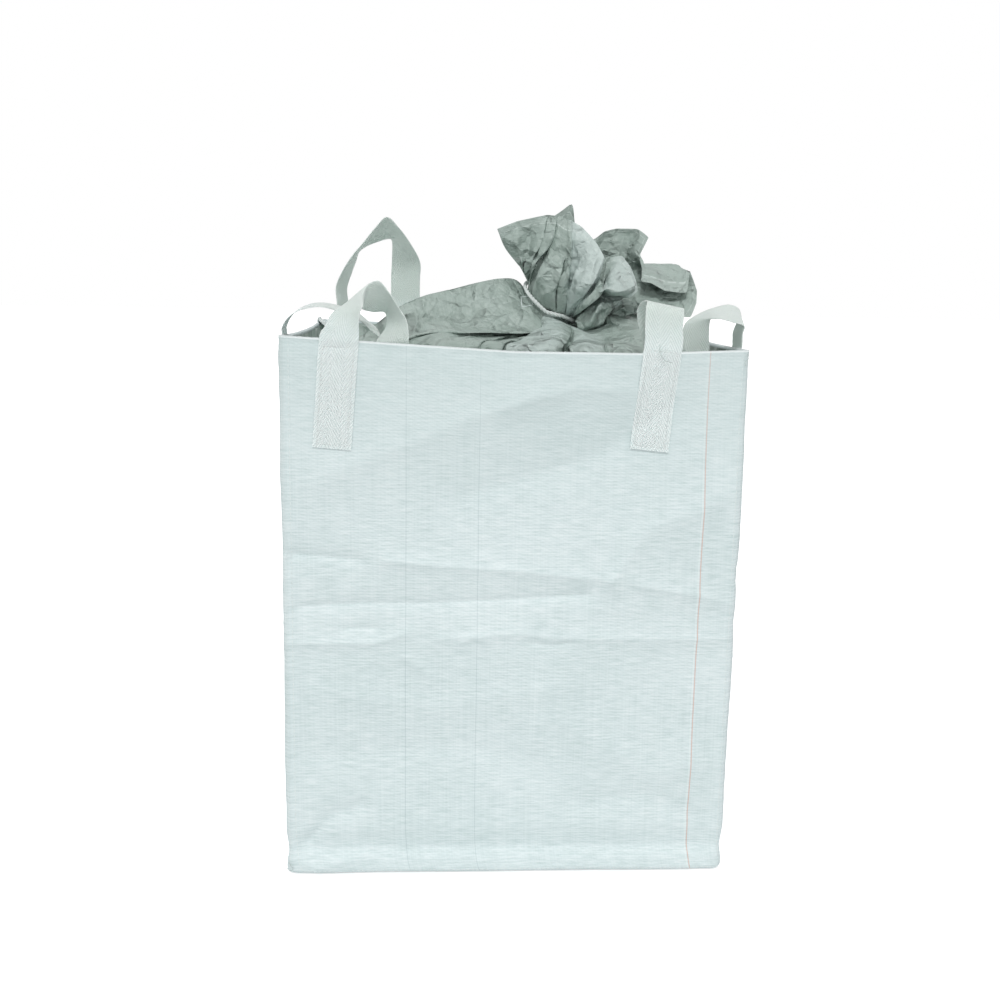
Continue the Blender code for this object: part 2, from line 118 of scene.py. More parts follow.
def add_node(tree, kind, settings=None, links=None):
    """One node: settings name inputs, by name or number, or properties, and links feed its inputs."""
    made = tree.nodes.new("ShaderNode" + kind)
    for key, value in (settings or {}).items():
        if isinstance(key, int) or key in made.inputs:
            made.inputs[key].default_value = value
        else:
            setattr(made, key, value)
    for key, source in (links or {}).items():
        tree.links.new(source, made.inputs[key])
    return made


print("mid grey in linear light", round(linear("#808080")[0], 3))

# %% Materials, sums and mixes
PLASTIC_IOR = 1.49


def start_material(name, roughness):
    made = bpy.data.materials.new(name)
    made.use_nodes = True
    shader = made.node_tree.nodes["Principled BSDF"]
    shader.inputs["Roughness"].default_value = roughness
    shader.inputs["IOR"].default_value = PLASTIC_IOR
    return made, made.node_tree, shader


def reckon(tree, operation, *terms):
    """A Math node over its terms, each a number or what another node gives."""
    made = add_node(tree, "Math", {"operation": operation})
    for number, term in enumerate(terms):
        if isinstance(term, (int, float)):
            made.inputs[number].default_value = term
        else:
            tree.links.new(term, made.inputs[number])
    return made.outputs[0]


def ranged(tree, source, low=0.0, high=1.0, to_low=0.0, to_high=1.0):
    """A value moved from one range into another and held inside it."""
    limits = {"From Min": low, "From Max": high, "To Min": to_low, "To Max": to_high}
    return add_node(tree, "MapRange", limits, {"Value": source}).outputs["Result"]


def part_way(tree, share, first, second):
    """A value that lies a fixed share of the way from one to another."""
    return add_node(tree, "Mix", {"data_type": "FLOAT", 0: share}, {2: first, 3: second}).outputs[0]


def tinted(tree, base, colour, share):
    """A colour drawn towards an sRGB one, by a share that another node gives."""
    return add_node(tree, "Mix", {"data_type": "RGBA", 7: linear(colour)}, {0: share, 6: base}).outputs[2]


def spread(tree, source, colours):
    """A colour ramp over a value from 0 to 1, with its sRGB stops evenly apart."""
    ramp = add_node(tree, "ValToRGB", links={"Fac": source})
    stops = ramp.color_ramp.elements
    while len(stops) < len(colours):
        stops.new(0.5)
    for number, colour in enumerate(colours):
        stops[number].position = number / (len(colours) - 1)
        stops[number].color = linear(colour)
    return ramp.outputs["Color"]


print("node helpers ready")

# %% [markdown]
# The stage is a white floor under a white world, as in a studio. A glow that only camera rays see lifts
# the floor to the white of the world behind it, so the bag stands in plain white and its shadow hardly
# shows. One soft lamp from above models the folds, and a weak one from the front keeps the walls from
# going grey.

# %% Floor
FLOOR_REACH = 30.0
FLOOR_GLOW = 0.5

shape = bmesh.new()
bmesh.ops.create_grid(shape, x_segments=1, y_segments=1, size=FLOOR_REACH)
floor_mesh = bpy.data.meshes.new("floor")
shape.to_mesh(floor_mesh)
shape.free()
floor = bpy.data.objects.new("floor", floor_mesh)
bpy.context.scene.collection.objects.link(floor)

paper, tree, shader = start_material("white paper floor", 1.0)
shader.inputs["Base Color"].default_value = linear("#FAFAFA")
shader.inputs["Specular IOR Level"].default_value = 0.0
shader.inputs["Emission Color"].default_value = (1, 1, 1, 1)
rays = add_node(tree, "LightPath")
glow = reckon(tree, "MULTIPLY", rays.outputs["Is Camera Ray"], FLOOR_GLOW)
tree.links.new(glow, shader.inputs["Emission Strength"])
floor_mesh.materials.append(paper)
print("floor", 2 * FLOOR_REACH, "m wide")

# %% White world
# The camera and shiny faces see the world at its full white, and matt cloth is lit by this part of it.
WORLD_LIGHT = 0.60

world = bpy.data.worlds.new("white studio")
world.use_nodes = True
bpy.context.scene.world = world
tree = world.node_tree
rays = add_node(tree, "LightPath")
direct = reckon(tree, "ADD", rays.outputs["Is Camera Ray"], rays.outputs["Is Glossy Ray"])
direct = reckon(tree, "ADD", direct, rays.outputs["Is Transmission Ray"])
level = ranged(tree, direct, to_low=WORLD_LIGHT)
tree.links.new(level, tree.nodes["Background"].inputs["Strength"])
tree.nodes["Background"].inputs["Color"].default_value = (1, 1, 1, 1)
print("world light", WORLD_LIGHT)


# %% Lamps
def add_sun(name, strength, softness, azimuth, elevation):
    """A soft sun from a compass direction, where 0 is in front of the bag and positive is to its right."""
    lamp = bpy.data.lights.new(name, "SUN")
    lamp.energy = strength
    lamp.angle = radians(softness)
    sun = bpy.data.objects.new(name, lamp)
    sun.rotation_euler = (radians(90 - elevation), 0, radians(azimuth))
    bpy.context.scene.collection.objects.link(sun)


add_sun("key lamp", strength=1.22, softness=12, azimuth=-4, elevation=54)
add_sun("front lamp", strength=0.32, softness=40, azimuth=-6, elevation=6)
bpy.context.scene.view_settings.view_transform = "Standard"
print(len(bpy.data.lights), "lamps")

# %% [markdown]
# Every cloth on this bag was a flat rectangle first. So each one starts as a flat grid, which keeps its
# flat place as a UV map in metres, and is then laid out in space by a function of that place. Weaves
# follow the UV map, so the threads run with the cloth wherever it goes.

# %% Flat cloth
def flat_cloth(width, length, across, along, rows=None):
    """A flat grid of cloth with one corner at the origin, and its flat place in metres as a UV map.
    Where a table of rows is given, it says how far along the cloth each row lies."""
    cloth = bmesh.new()
    bmesh.ops.create_grid(cloth, x_segments=across, y_segments=along, size=0.5)
    bmesh.ops.translate(cloth, verts=cloth.verts, vec=(0.5, 0.5, 0))
    bmesh.ops.scale(cloth, verts=cloth.verts, vec=(width, length, 1))
    if rows:
        for spot in cloth.verts:
            spot.co.y = between(rows, spot.co.y / length * along)
    metres = cloth.loops.layers.uv.new("metres")
    for face in cloth.faces:
        for corner in face.loops:
            corner[metres].uv = corner.vert.co.xy
    return cloth


def lay_out(cloth, place, rough=None):
    """Moves each point of flat cloth to its place in space, then out along its normal by a rough height."""
    flat = [spot.co.xy for spot in cloth.verts]
    for spot, (across, along) in zip(cloth.verts, flat):
        spot.co = place(across, along)
    if rough:
        cloth.normal_update()
        moves = [spot.normal * rough(*at, spot.co) for spot, at in zip(cloth.verts, flat)]
        for spot, move in zip(cloth.verts, moves):
            spot.co += move


def add_piece(name, shape, finish):
    made = bpy.data.meshes.new(name)
    shape.to_mesh(made)
    shape.free()
    made.shade_smooth()
    made.materials.append(finish)
    piece = bpy.data.objects.new(name, made)
    bpy.context.scene.collection.objects.link(piece)
    print(name, len(made.polygons), "faces")
    return piece


# Points of cloth closer than this are one point.
WELD = 0.00002
print("cloth helpers ready")


# %% Curves and tables
def through(points, at):
    """The smooth curve through points, at a place counted in points from the first."""
    last = len(points) - 1
    span = max(0, min(int(at), last - 1))
    share = at - span
    before = points[span - 1] if span else points[0] * 2 - points[1]
    after = points[span + 2] if span + 2 <= last else points[last] * 2 - points[last - 1]
    start, end = points[span], points[span + 1]
    leave, arrive = (end - before) / 2, (after - start) / 2
    rest = end - start
    bend = 3 * rest - 2 * leave - arrive + share * (leave + arrive - 2 * rest)
    return start + share * (leave + share * bend)


def ease(value, low, high):
    """0 below low, 1 above high and a smooth rise between them."""
    share = min(max((value - low) / (high - low), 0), 1)
    return share * share * (3 - 2 * share)


def between(table, at):
    """A value read off a table of (place, value) rows, straight from row to row."""
    for (low, first), (high, second) in zip(table, table[1:]):
        if at <= high:
            break
    share = min(max((at - low) / (high - low), 0), 1)
    return first + (second - first) * share


print("half way along a rise from 0 to 2:", ease(1, 0, 2))

# %% Crushed cloth
# Sizes of the cells that creases cut thin cloth into, each with the steepest slope of its facets.
CRUSH_SIZES = [(0.120, 0.62), (0.055, 0.30)]
# A stride that is no whole number gives every cell its own chance.
CHANCE_STRIDE = 9.7


def crushed(spot, seed):
    """The height of thin cloth crushed into flat facets, each cell a low roof or a shallow pit."""
    total = 0.0
    for size, slope in CRUSH_SIZES:
        away, middles = noise.voronoi(spot / size + Vector((seed, seed, 0)))
        to_crease = (away[1] ** 2 - away[0] ** 2) / 2 / (middles[1] - middles[0]).length
        total += size * slope * to_crease * noise.cell(middles[0] * CHANCE_STRIDE)
    return total


print("crushed into cells of", [size for size, _ in CRUSH_SIZES], "m")

# %% [markdown]
# ## Woven polypropylene
# The sack is woven from flat plastic tapes about 3 mm wide and coated, which gives a matt skin with a
# soft shine, a fine plain weave and streaks where one tape is a shade whiter than the next. An image of
# cloth could be wrapped round the bag, but sines and drawn-out noise over the flat cloth have no edges
# and follow every fold. The weave is drawn 3.6 by 7.5 mm, coarser than life, because real tapes are
# hardly wider than a pixel of the picture.

# %% Patterns of woven cloth
TAPE = 0.0036
TAPE_FLOAT = 0.0075


def flat_place(tree):
    """The flat place of cloth in metres as one vector, then how far across and along it is."""
    metres = add_node(tree, "UVMap", {"uv_map": "metres"}).outputs["UV"]
    apart = add_node(tree, "SeparateXYZ", links={0: metres})
    return metres, apart.outputs["X"], apart.outputs["Y"]


def weave(tree, across, along):
    """Heights of a plain weave, from -1 to 1."""
    warp = reckon(tree, "SINE", reckon(tree, "MULTIPLY", across, pi / TAPE_FLOAT))
    weft = reckon(tree, "SINE", reckon(tree, "MULTIPLY", along, pi / TAPE))
    return reckon(tree, "MULTIPLY", warp, weft)


def streaks(tree, source, scale_across, scale_along, seed):
    """Noise drawn out along the threads, as values about 0.5."""
    stretch = {"Scale": (scale_across, scale_along, 1), "Location": (seed, seed, 0)}
    drawn = add_node(tree, "Mapping", stretch, {"Vector": source}).outputs[0]
    grain = {"Scale": 1.0, "Detail": 4.0, "Roughness": 0.6}
    return add_node(tree, "TexNoise", grain, {"Vector": drawn}).outputs["Fac"]


def line_at(tree, source, place, width):
    """1 on a line of a width across the cloth, 0 off it."""
    away = reckon(tree, "ABSOLUTE", reckon(tree, "SUBTRACT", source, place))
    return ranged(tree, away, width, width / 2)


print("tapes", 1000 * TAPE, "mm wide")

# %% Sack cloth material
# Where along the flat cloth the painted highlight on the rim fold lies, and how wide it is.
RIM_HIGHLIGHT_AT = RIM + 0.029
RIM_HIGHLIGHT_WIDTH = 0.004
# Every wall has the same marked tapes: how far from its left corner, how wide, their colour and how
# strong it is.
MARKED_TAPES = [
    (0.826, 0.0013, "#CE8D74", 0.55),
    (0.822, 0.0013, "#EEF4F4", 0.35),
    (0.236, 0.0009, "#9FB4B6", 0.45),
    (0.379, 0.0009, "#9FB4B6", 0.40),
]

woven, tree, shader = start_material("coated woven polypropylene", 0.5)
metres, across, along = flat_place(tree)
over = weave(tree, across, along)
level_tone = streaks(tree, metres, 26, 300, 0.0)
upright_tone = streaks(tree, metres, 280, 4, 7.0)
broad_tone = streaks(tree, metres, 3.2, 3.8, 13.0)
tone = part_way(tree, 0.22, level_tone, upright_tone)
tone = part_way(tree, 0.22, tone, broad_tone)
skin = spread(tree, ranged(tree, tone, 0.38, 0.62), ["#C3D3D3", "#D3E0E1", "#E0EAEB"])
shade = ranged(tree, over, -1.0, 1.0, 0.97, 1.0)
darken = {"data_type": "RGBA", "blend_type": "MULTIPLY", 0: 1.0}
skin = add_node(tree, "Mix", darken, {6: skin, 7: shade}).outputs[2]
from_corner = reckon(tree, "MODULO", across, 2 * HALF_WIDE)
for from_left, width, colour, strength in MARKED_TAPES:
    marked = reckon(tree, "MULTIPLY", line_at(tree, from_corner, from_left, width), strength)
    skin = tinted(tree, skin, colour, marked)

# Painted shade greys the cloth a little towards the mouth, and a painted highlight lies pale along the fold
# at the rim.
skin = tinted(tree, skin, "#BFCECD", ranged(tree, along, 0.78, 1.12, 0.0, 0.5))
rim_highlight = reckon(tree, "MULTIPLY", line_at(tree, along, RIM_HIGHLIGHT_AT, RIM_HIGHLIGHT_WIDTH), 0.6)
skin = tinted(tree, skin, "#F4F9F9", rim_highlight)
tree.links.new(skin, shader.inputs["Base Color"])
fine = add_node(tree, "Bump", {"Strength": 0.25, "Distance": 0.0004}, {"Height": over}).outputs[0]
sources = {"Height": level_tone, "Normal": fine}
grain = add_node(tree, "Bump", {"Strength": 0.35, "Distance": 0.0015}, sources)
tree.links.new(grain.outputs[0], shader.inputs["Normal"])
tree.links.new(ranged(tree, broad_tone, to_low=0.42, to_high=0.6), shader.inputs["Roughness"])
print("woven polypropylene ready")

# %% [markdown]
# ## The sack
# A full bag would bulge, but this one stands nearly flat-sided on its fold lines, and what shows is how
# the cloth was folded in the bale: long level creases, a soft ridge that climbs to the right, puckers
# along the sewn corners and a rim that dips between the loops. One tube of cloth is laid round a square
# with tight corners, turned in at the rim for the hem and under at the foot for the bottom seam. Creases
# are moved in as sharp-crested waves.

# %% Creases of the sack
# Points across and up the front wall in metres, then the height of the crest, valleys below zero, and its
# reach.
FRONT_CREASES = [
    ([(-0.46, 0.69), (-0.43, 0.68), (-0.45, 0.655)], -0.010, 0.014),
    ([(-0.43, 0.68), (-0.31, 0.67)], -0.006, 0.014),
    ([(-0.25, 0.67), (-0.14, 0.66), (0.02, 0.65), (0.11, 0.64), (0.20, 0.63)], 0.0085, 0.022),
    ([(0.20, 0.63), (0.27, 0.74), (0.36, 0.77), (0.44, 0.81)], 0.010, 0.045),
    ([(0.26, 0.62), (0.38, 0.60), (0.45, 0.58)], 0.007, 0.018),
    ([(-0.46, 0.57), (-0.30, 0.58), (-0.19, 0.58), (0.02, 0.59), (0.16, 0.60), (0.17, 0.63)],
     -0.0085, 0.022),
    ([(-0.45, 0.50), (-0.27, 0.50), (-0.21, 0.52)], 0.006, 0.014),
    ([(-0.33, 0.53), (-0.27, 0.53)], -0.005, 0.010),
    ([(-0.14, 0.51), (0.02, 0.52), (0.09, 0.51), (0.34, 0.51), (0.46, 0.51)], 0.006, 0.018),
    ([(-0.10, 0.50), (-0.07, 0.515), (-0.05, 0.50)], 0.004, 0.008),
    ([(0.04, 0.50), (0.08, 0.495), (0.12, 0.50)], -0.004, 0.008),
    ([(-0.21, 0.47), (-0.16, 0.43)], 0.005, 0.010),
    ([(-0.41, 0.07), (-0.39, 0.10), (-0.36, 0.13), (-0.30, 0.15)], -0.012, 0.014),
    ([(-0.45, 0.035), (-0.39, 0.015), (-0.30, 0.04)], 0.006, 0.010),
    ([(-0.40, 0.82), (-0.15, 0.93), (0.05, 1.02)], 0.010, 0.060),
    ([(-0.10, 0.80), (0.15, 0.88), (0.30, 0.98)], -0.010, 0.060),
    ([(0.00, 0.99), (0.12, 1.03), (0.22, 1.02)], 0.006, 0.030),
    ([(-0.38, 0.40), (-0.15, 0.36), (0.10, 0.41)], 0.007, 0.060),
    ([(-0.40, 0.26), (-0.10, 0.28), (0.05, 0.24)], -0.008, 0.050),
    ([(0.10, 0.33), (0.30, 0.22), (0.42, 0.24)], 0.008, 0.050),
    ([(0.15, 0.15), (0.28, 0.17), (0.40, 0.12)], -0.008, 0.030),
]
CREASE_STRENGTH = 1.25
# A crease is left out of the sum this many reaches away from its line.
CREASE_ENDS = 4


def from_line(x, z, points):
    """How far a point of a wall is from a line through other points."""
    least = float("inf")
    for (x1, z1), (x2, z2) in zip(points, points[1:]):
        run_x, run_z = x2 - x1, z2 - z1
        share = ((x - x1) * run_x + (z - z1) * run_z) / (run_x * run_x + run_z * run_z)
        share = min(max(share, 0), 1)
        away = ((x - x1 - share * run_x) ** 2 + (z - z1 - share * run_z) ** 2) ** 0.5
        least = min(least, away)
    return least


def crease_height(x, z):
    total = 0.0
    for points, height, reach in FRONT_CREASES:
        away = from_line(x, z, points)
        if away < CREASE_ENDS * reach:
            total += CREASE_STRENGTH * height * exp(-away / reach)
    return total


print(len(FRONT_CREASES), "creases on each wall")

# %% [markdown]
# Between its creases a wall is never quite flat: it has broad waves, fine ripples, a groove where the hem
# is sewn with puckers beside it, and a ridge along each sewn corner. One function adds these heights up.
# The straps and the stitches use it too, so they lie on the cloth.

# %% How far the wall swells
HEM_DEPTH = 0.0125
# The foot bulges forward under a level valley, and each row is a height and how far out the wall stands
# there.
FOOT_SWELL = [(0.0, 0.000), (0.012, 0.007), (0.032, 0.004), (0.056, -0.010), (0.10, 0.0), (2.0, 0.0)]
# Each wave has a height in metres, then how close its noise is across the wall and up it, per metre.
WAVES = [(0.0050, 2.6, 2.2), (0.0030, 6.0, 4.5), (0.0010, 10.0, 40.0)]
HEM_PUCKERS = (0.0020, 34.0, 60.0)
RIM_WRINKLES = (0.0022, 8.0, 95.0)
# The side and back walls have the same creases, weaker and shifted up or down.
SIDE_SHIFT = 0.03
BACK_SHIFT = 0.05
OTHER_WALLS = 0.6
ON_SIDE = HALF_WIDE - 0.002
# How much is taken or added at the corners, the rim and the hem, and how far that reaches.
CORNER_CALM, CORNER_CALM_REACH = 0.75, 0.03
RIM_CALM, RIM_CALM_REACH = 0.7, 0.06
HEM_GROOVE, HEM_GROOVE_REACH = 0.0022, 0.0035
PUCKER_REACH = 0.012
WRINKLE_REACH = 0.035
CORNER_RIDGE, CORNER_PUCKER, CORNER_REACH = 0.0060, 0.0014, 0.012


def ripple(x, y, height, size, across, up):
    return size * noise.noise((x * across, y * across, height * up))


def wall_swell(x, y, height):
    """How far the wall stands out from the flat side of a square sack."""
    on_wall, shift = x, 0.0
    if abs(x) > ON_SIDE:
        on_wall, shift = (y, SIDE_SHIFT) if x > 0 else (-y, -SIDE_SHIFT)
    elif y > 0:
        on_wall, shift = -x, BACK_SHIFT
    swell = sum(ripple(x, y, height, *wave) for wave in WAVES)
    swell += crease_height(on_wall, height + shift) * (OTHER_WALLS if shift else 1.0)
    swell += between(FOOT_SWELL, height)
    to_corner = max(HALF_WIDE - abs(x), HALF_DEEP - abs(y))
    swell *= 1 - CORNER_CALM * exp(-to_corner / CORNER_CALM_REACH)
    swell *= 1 - RIM_CALM * ease(height, RIM - RIM_CALM_REACH, RIM)
    under_rim = RIM - height
    from_hem = abs(under_rim - HEM_DEPTH)
    swell -= HEM_GROOVE * exp(-from_hem / HEM_GROOVE_REACH)
    swell += ripple(x, y, height, *HEM_PUCKERS) * exp(-from_hem / PUCKER_REACH)
    swell += ripple(x, y, height, *RIM_WRINKLES) * exp(-under_rim / WRINKLE_REACH)
    pucker = CORNER_PUCKER * noise.noise((height * 30, x * 3, y * 3))
    return swell + (CORNER_RIDGE + pucker) * exp(-to_corner / CORNER_REACH)


print("front wall swells", round(1000 * wall_swell(0, -HALF_DEEP, RIM / 2), 1), "mm at its middle")

# %% [markdown]
# The wall itself could be four panels, but then each corner would need its own join. One tube of cloth is
# simpler: its flat rectangle is wound round a square with tight corners, and the same function turns its
# two ends in.

# %% The way round the sack
# How far the rim stands over or hangs below its level, across the front from left to right.
FRONT_RIM = [(-0.45, 0.009), (-0.22, -0.004), (0.0, -0.0155), (0.24, -0.016), (0.45, -0.007)]
BACK_SAG = 0.010
SIDE_SAG = 0.008


def round_square(share, half_wide, half_deep, radius):
    """A point on a square with round corners and its outward direction, a share of the way round it.
    The way starts at the back left corner and goes along the left wall first."""
    long_runs = [2 * (half_deep - radius), 2 * (half_wide - radius)] * 2
    bend = pi * radius / 2
    left = share * (sum(long_runs) + 4 * bend)
    heading = -pi / 2
    spot = Vector((-half_wide, half_deep - radius))
    for run in long_runs:
        ahead = Vector((cos(heading), sin(heading)))
        outward = Vector((ahead.y, -ahead.x))
        if left <= run:
            return spot + ahead * left, outward
        spot = spot + ahead * run
        left -= run
        centre = spot - outward * radius
        if left <= bend:
            out = Matrix.Rotation(left / radius, 2) @ outward
            return centre + out * radius, out
        spot = centre + ahead * radius
        left -= bend
        heading += pi / 2
    return spot, Vector((-1, 0))


def rim_lift(x, y):
    """How far the rim stands over its level, or hangs below it, at a place round the mouth."""
    front = between(FRONT_RIM, x)
    back = -BACK_SAG * max(0, cos(pi * x / 2 / HALF_WIDE))
    toward_back = (y + HALF_DEEP) / 2 / HALF_DEEP
    sag = SIDE_SAG * max(0, cos(pi * y / 2 / HALF_DEEP))
    return front * (1 - toward_back) + back * toward_back - sag


PERIMETER = 4 * (HALF_WIDE + HALF_DEEP)
print("round the sack", round(PERIMETER, 3), "m")

# %% Laying the sack wall
HEM = 0.025
FOOT_TURN = 0.030
FOOT_RADIUS = 0.008
CORNER_RADIUS = 0.004
FOOT_ROUNDING, FOOT_ROUNDING_REACH = 0.018, 0.03
FOLD_BACK = 0.0026
FLOOR_GAP = 0.0012
WALL_STEPS = 500
WALL_LENGTH = FOOT_TURN + RIM + HEM
# Rows of the grid and how far up the cloth they lie: close together where the sharp creases are.
WALL_ROWS = [(0, 0.0), (26, 0.13), (52, 0.47), (142, 0.74), (166, 1.0), (197, WALL_LENGTH)]
RIM_LIFT_REACH = 0.35


def sack_wall(across, along):
    """Where a point of the flat wall cloth goes."""
    up = along - FOOT_TURN
    height = min(max(up, 0), RIM)
    radius = CORNER_RADIUS + FOOT_ROUNDING * exp(-height / FOOT_ROUNDING_REACH)
    spot, outward = round_square(across / PERIMETER, HALF_WIDE, HALF_DEEP, radius)
    inward = 0.0
    if height < FOOT_RADIUS:
        inward = FOOT_RADIUS - (FOOT_RADIUS ** 2 - (FOOT_RADIUS - height) ** 2) ** 0.5
    swell = wall_swell(spot.x, spot.y, height) - inward
    z = height + rim_lift(spot.x, spot.y) * ease(height, RIM - RIM_LIFT_REACH, RIM)
    if up < 0:
        swell += up
        z = FLOOR_GAP
    elif up > RIM:
        swell -= FOLD_BACK
        z -= up - RIM
    spot = spot + outward * swell
    return Vector((spot.x, spot.y, max(z, FLOOR_GAP)))


cloth = flat_cloth(PERIMETER, WALL_LENGTH, WALL_STEPS, WALL_ROWS[-1][0], WALL_ROWS)
lay_out(cloth, sack_wall)
bmesh.ops.remove_doubles(cloth, verts=cloth.verts, dist=WELD)
sack = add_piece("sack_wall", cloth, woven)
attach(sack, "bag")
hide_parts("front_panel", "back_panel", "left_panel", "right_panel")

# %% [markdown]
# The bottom is a second square of the same cloth. Its edges turn up inside the walls, where a seam holds
# them.

# %% Sack bottom
BOTTOM_STEPS = 110
BOTTOM_SIZE = 2 * (HALF_WIDE + FOOT_TURN)
BOTTOM_EDGE = HALF_WIDE - FOLD_BACK - 0.001
BOTTOM_LIFT = 0.0022
BOTTOM_RUMPLE = 0.003


def sack_bottom(across, along):
    """Where a point of the flat bottom goes: over the floor, and up at its edges."""
    x, y = across - BOTTOM_SIZE / 2, along - BOTTOM_SIZE / 2
    from_middle = max(abs(x), abs(y))
    rumple = BOTTOM_RUMPLE * max(0, noise.noise((x * 6, y * 6, 2.0))) * (1 - ease(from_middle, 0.36, 0.44))
    turn_up = max(from_middle - BOTTOM_EDGE, 0)
    x = max(-BOTTOM_EDGE, min(BOTTOM_EDGE, x))
    y = max(-BOTTOM_EDGE, min(BOTTOM_EDGE, y))
    return Vector((x, y, BOTTOM_LIFT + rumple + turn_up))


cloth = flat_cloth(BOTTOM_SIZE, BOTTOM_SIZE, BOTTOM_STEPS, BOTTOM_STEPS)
lay_out(cloth, sack_bottom)
bottom = add_piece("sack_bottom", cloth, woven)
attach(bottom, "bag")
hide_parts("bottom_panel")

# %% [markdown]
# ## Webbing
# Lifting loops are cut from stock webbing 75 mm wide, woven in herringbone: ribs that slant one way, then
# the other, in columns along the strap. The slant comes from folding the distance across the strap back
# and forth before it is added to the distance along it. Ribs are drawn 8.8 mm apart along the strap, in
# columns 25 mm wide, both coarser than life, so that they show. A little light passes through the yarn,
# which keeps folded webbing bright.

# %% Webbing material
WEBBING_WIDTH = 0.075
WEBBING_THICKNESS = 0.0018
RIB = 0.0088
RIB_SLANT = -1.7
COLUMN = 0.025
# How far along a strap its middle is, where its legs end and where the painted shade of its free part
# starts.
HALF_STRAP = 0.51
LEG_END_AT, CROWN_AT = 0.20, 0.27

webbing, tree, shader = start_material("herringbone polypropylene webbing", 0.75)
metres, across, along = flat_place(tree)
slant = reckon(tree, "MULTIPLY_ADD", reckon(tree, "PINGPONG", across, COLUMN), RIB_SLANT, along)
rib = reckon(tree, "SINE", reckon(tree, "MULTIPLY", slant, 2 * pi / RIB))
dirt = streaks(tree, metres, 90, 14, 3.0)
tone = part_way(tree, 0.35, ranged(tree, rib, -1.0, 1.0), dirt)
yarn = spread(tree, tone, ["#CBD9D7", "#E0EDEC", "#EDF7F6"])
# The free part of a strap, away from its two sewn ends, is painted greyer: painted shade where the loop
# turns from the light.
from_end = reckon(tree, "PINGPONG", along, HALF_STRAP)
yarn = tinted(tree, yarn, "#C7CFC8", ranged(tree, from_end, LEG_END_AT, CROWN_AT, 0.0, 0.6))
tree.links.new(yarn, shader.inputs["Base Color"])
raised = add_node(tree, "Bump", {"Strength": 0.4, "Distance": 0.0008}, {"Height": rib})
tree.links.new(raised.outputs[0], shader.inputs["Normal"])
shader.inputs["Subsurface Weight"].default_value = 1.0
shader.inputs["Subsurface Scale"].default_value = 0.004
shader.inputs["Subsurface Radius"].default_value = (1.0, 1.0, 1.0)
print("webbing ready")

# %% [markdown]
# ## Lifting loops
# Each loop is one strap, sewn to two walls at a corner and free between them. A strap bends easily over
# its flat but not edgeways, so where it changes direction it twists. Its route is therefore a list of
# stations, and each station gives a point and the direction across the webbing there. Both are counted
# from the corner: inward along the front or back wall, inward along the side wall, and up from the rim.

# %% Routes of the four straps
# The two front crowns and the tall back one are read off the picture: each row gives both edges of the
# webbing as pixels across and down and a judged depth in metres. The other stations are counted from the
# corner.
FRONT_LEFT_CROWN = [
    ((325, 326, -0.452), (359, 331, -0.456)),
    ((332, 313, -0.445), (359, 322, -0.462)),
    ((347, 302, -0.435), (360, 312, -0.475)),
    ((362, 289, -0.425), (363, 306, -0.476)),
    ((370, 283, -0.420), (362, 309, -0.400)),
    ((379, 281, -0.412), (373, 312, -0.372)),
    ((388, 291, -0.408), (384, 312, -0.350)),
    ((399, 308, -0.410), (387, 319, -0.350)),
    ((407, 322, -0.415), (385, 329, -0.365)),
    ((409, 342, -0.425), (376, 342, -0.405)),
    ((408, 354, -0.415), (374, 354, -0.395)),
    ((405, 363, -0.395), (373, 364, -0.380)),
    ((398, 356, -0.372), (376, 346, -0.328)),
    ((384, 341, -0.388), (378, 331, -0.322)),
    ((372, 331, -0.392), (369, 322, -0.322)),
    ((357, 319, -0.394), (356, 312, -0.324)),
]
OVER_RIM = ((-0.0022, 0.090, 0.021), (0.00, 1.00, 0.00))
OVER_BACK_LEFT_RIM = ((0.003, 0.090, 0.001), (0.00, 1.00, 0.00))
FRONT_LEFT_ROUTE = [
    ((0.085, 0.090, 0.062), (0.00, 1.00, 0.07)),
    ((0.046, 0.090, 0.061), (0.00, 1.00, 0.07)),
    ((0.014, 0.090, 0.045), (0.00, 1.00, 0.04)),
    OVER_RIM,
]
FRONT_RIGHT_CROWN = [
    ((683, 330, -0.454), (645, 328, -0.454)),
    ((684, 316, -0.452), (646, 309, -0.454)),
    ((684, 309, -0.435), (647, 301, -0.440)),
    ((683, 312, -0.408), (641, 303, -0.404)),
    ((683, 325, -0.398), (637, 312, -0.388)),
    ((684, 345, -0.395), (640, 332, -0.386)),
    ((690, 365, -0.387), (650, 360, -0.382)),
    ((700, 374, -0.368), (664, 376, -0.362)),
    ((709, 354, -0.362), (676, 362, -0.346)),
    ((709, 336, -0.364), (682, 343, -0.338)),
    ((710, 321, -0.370), (685, 324, -0.328)),
    ((714, 319, -0.386), (699, 314, -0.322)),
    ((721, 319, -0.396), (714, 308, -0.326)),
    ((732, 322, -0.398), (730, 305, -0.325)),
    ((744, 326, -0.400), (740, 312, -0.328)),
]
BACK_LEFT_CROWN = [
    ((391, 282, 0.452), (420, 282, 0.452)),
    ((392, 258, 0.450), (420, 262, 0.440)),
    ((392, 241, 0.440), (410, 243, 0.405)),
    ((387, 239, 0.425), (399, 228, 0.375)),
    ((377, 242, 0.405), (387, 217, 0.365)),
    ((367, 246, 0.400), (375, 228, 0.340)),
    ((359, 252, 0.397), (363, 243, 0.325)),
    ((356, 261, 0.397), (352, 256, 0.322)),
    ((352, 272, 0.397), (342, 272, 0.322)),
    ((347, 288, 0.397), (336, 287, 0.322)),
    ((348, 303, 0.397), (337, 303, 0.322)),
    ((347, 318, 0.395), (337, 318, 0.322)),
    ((340, 329, 0.393), (331, 330, 0.320)),
]
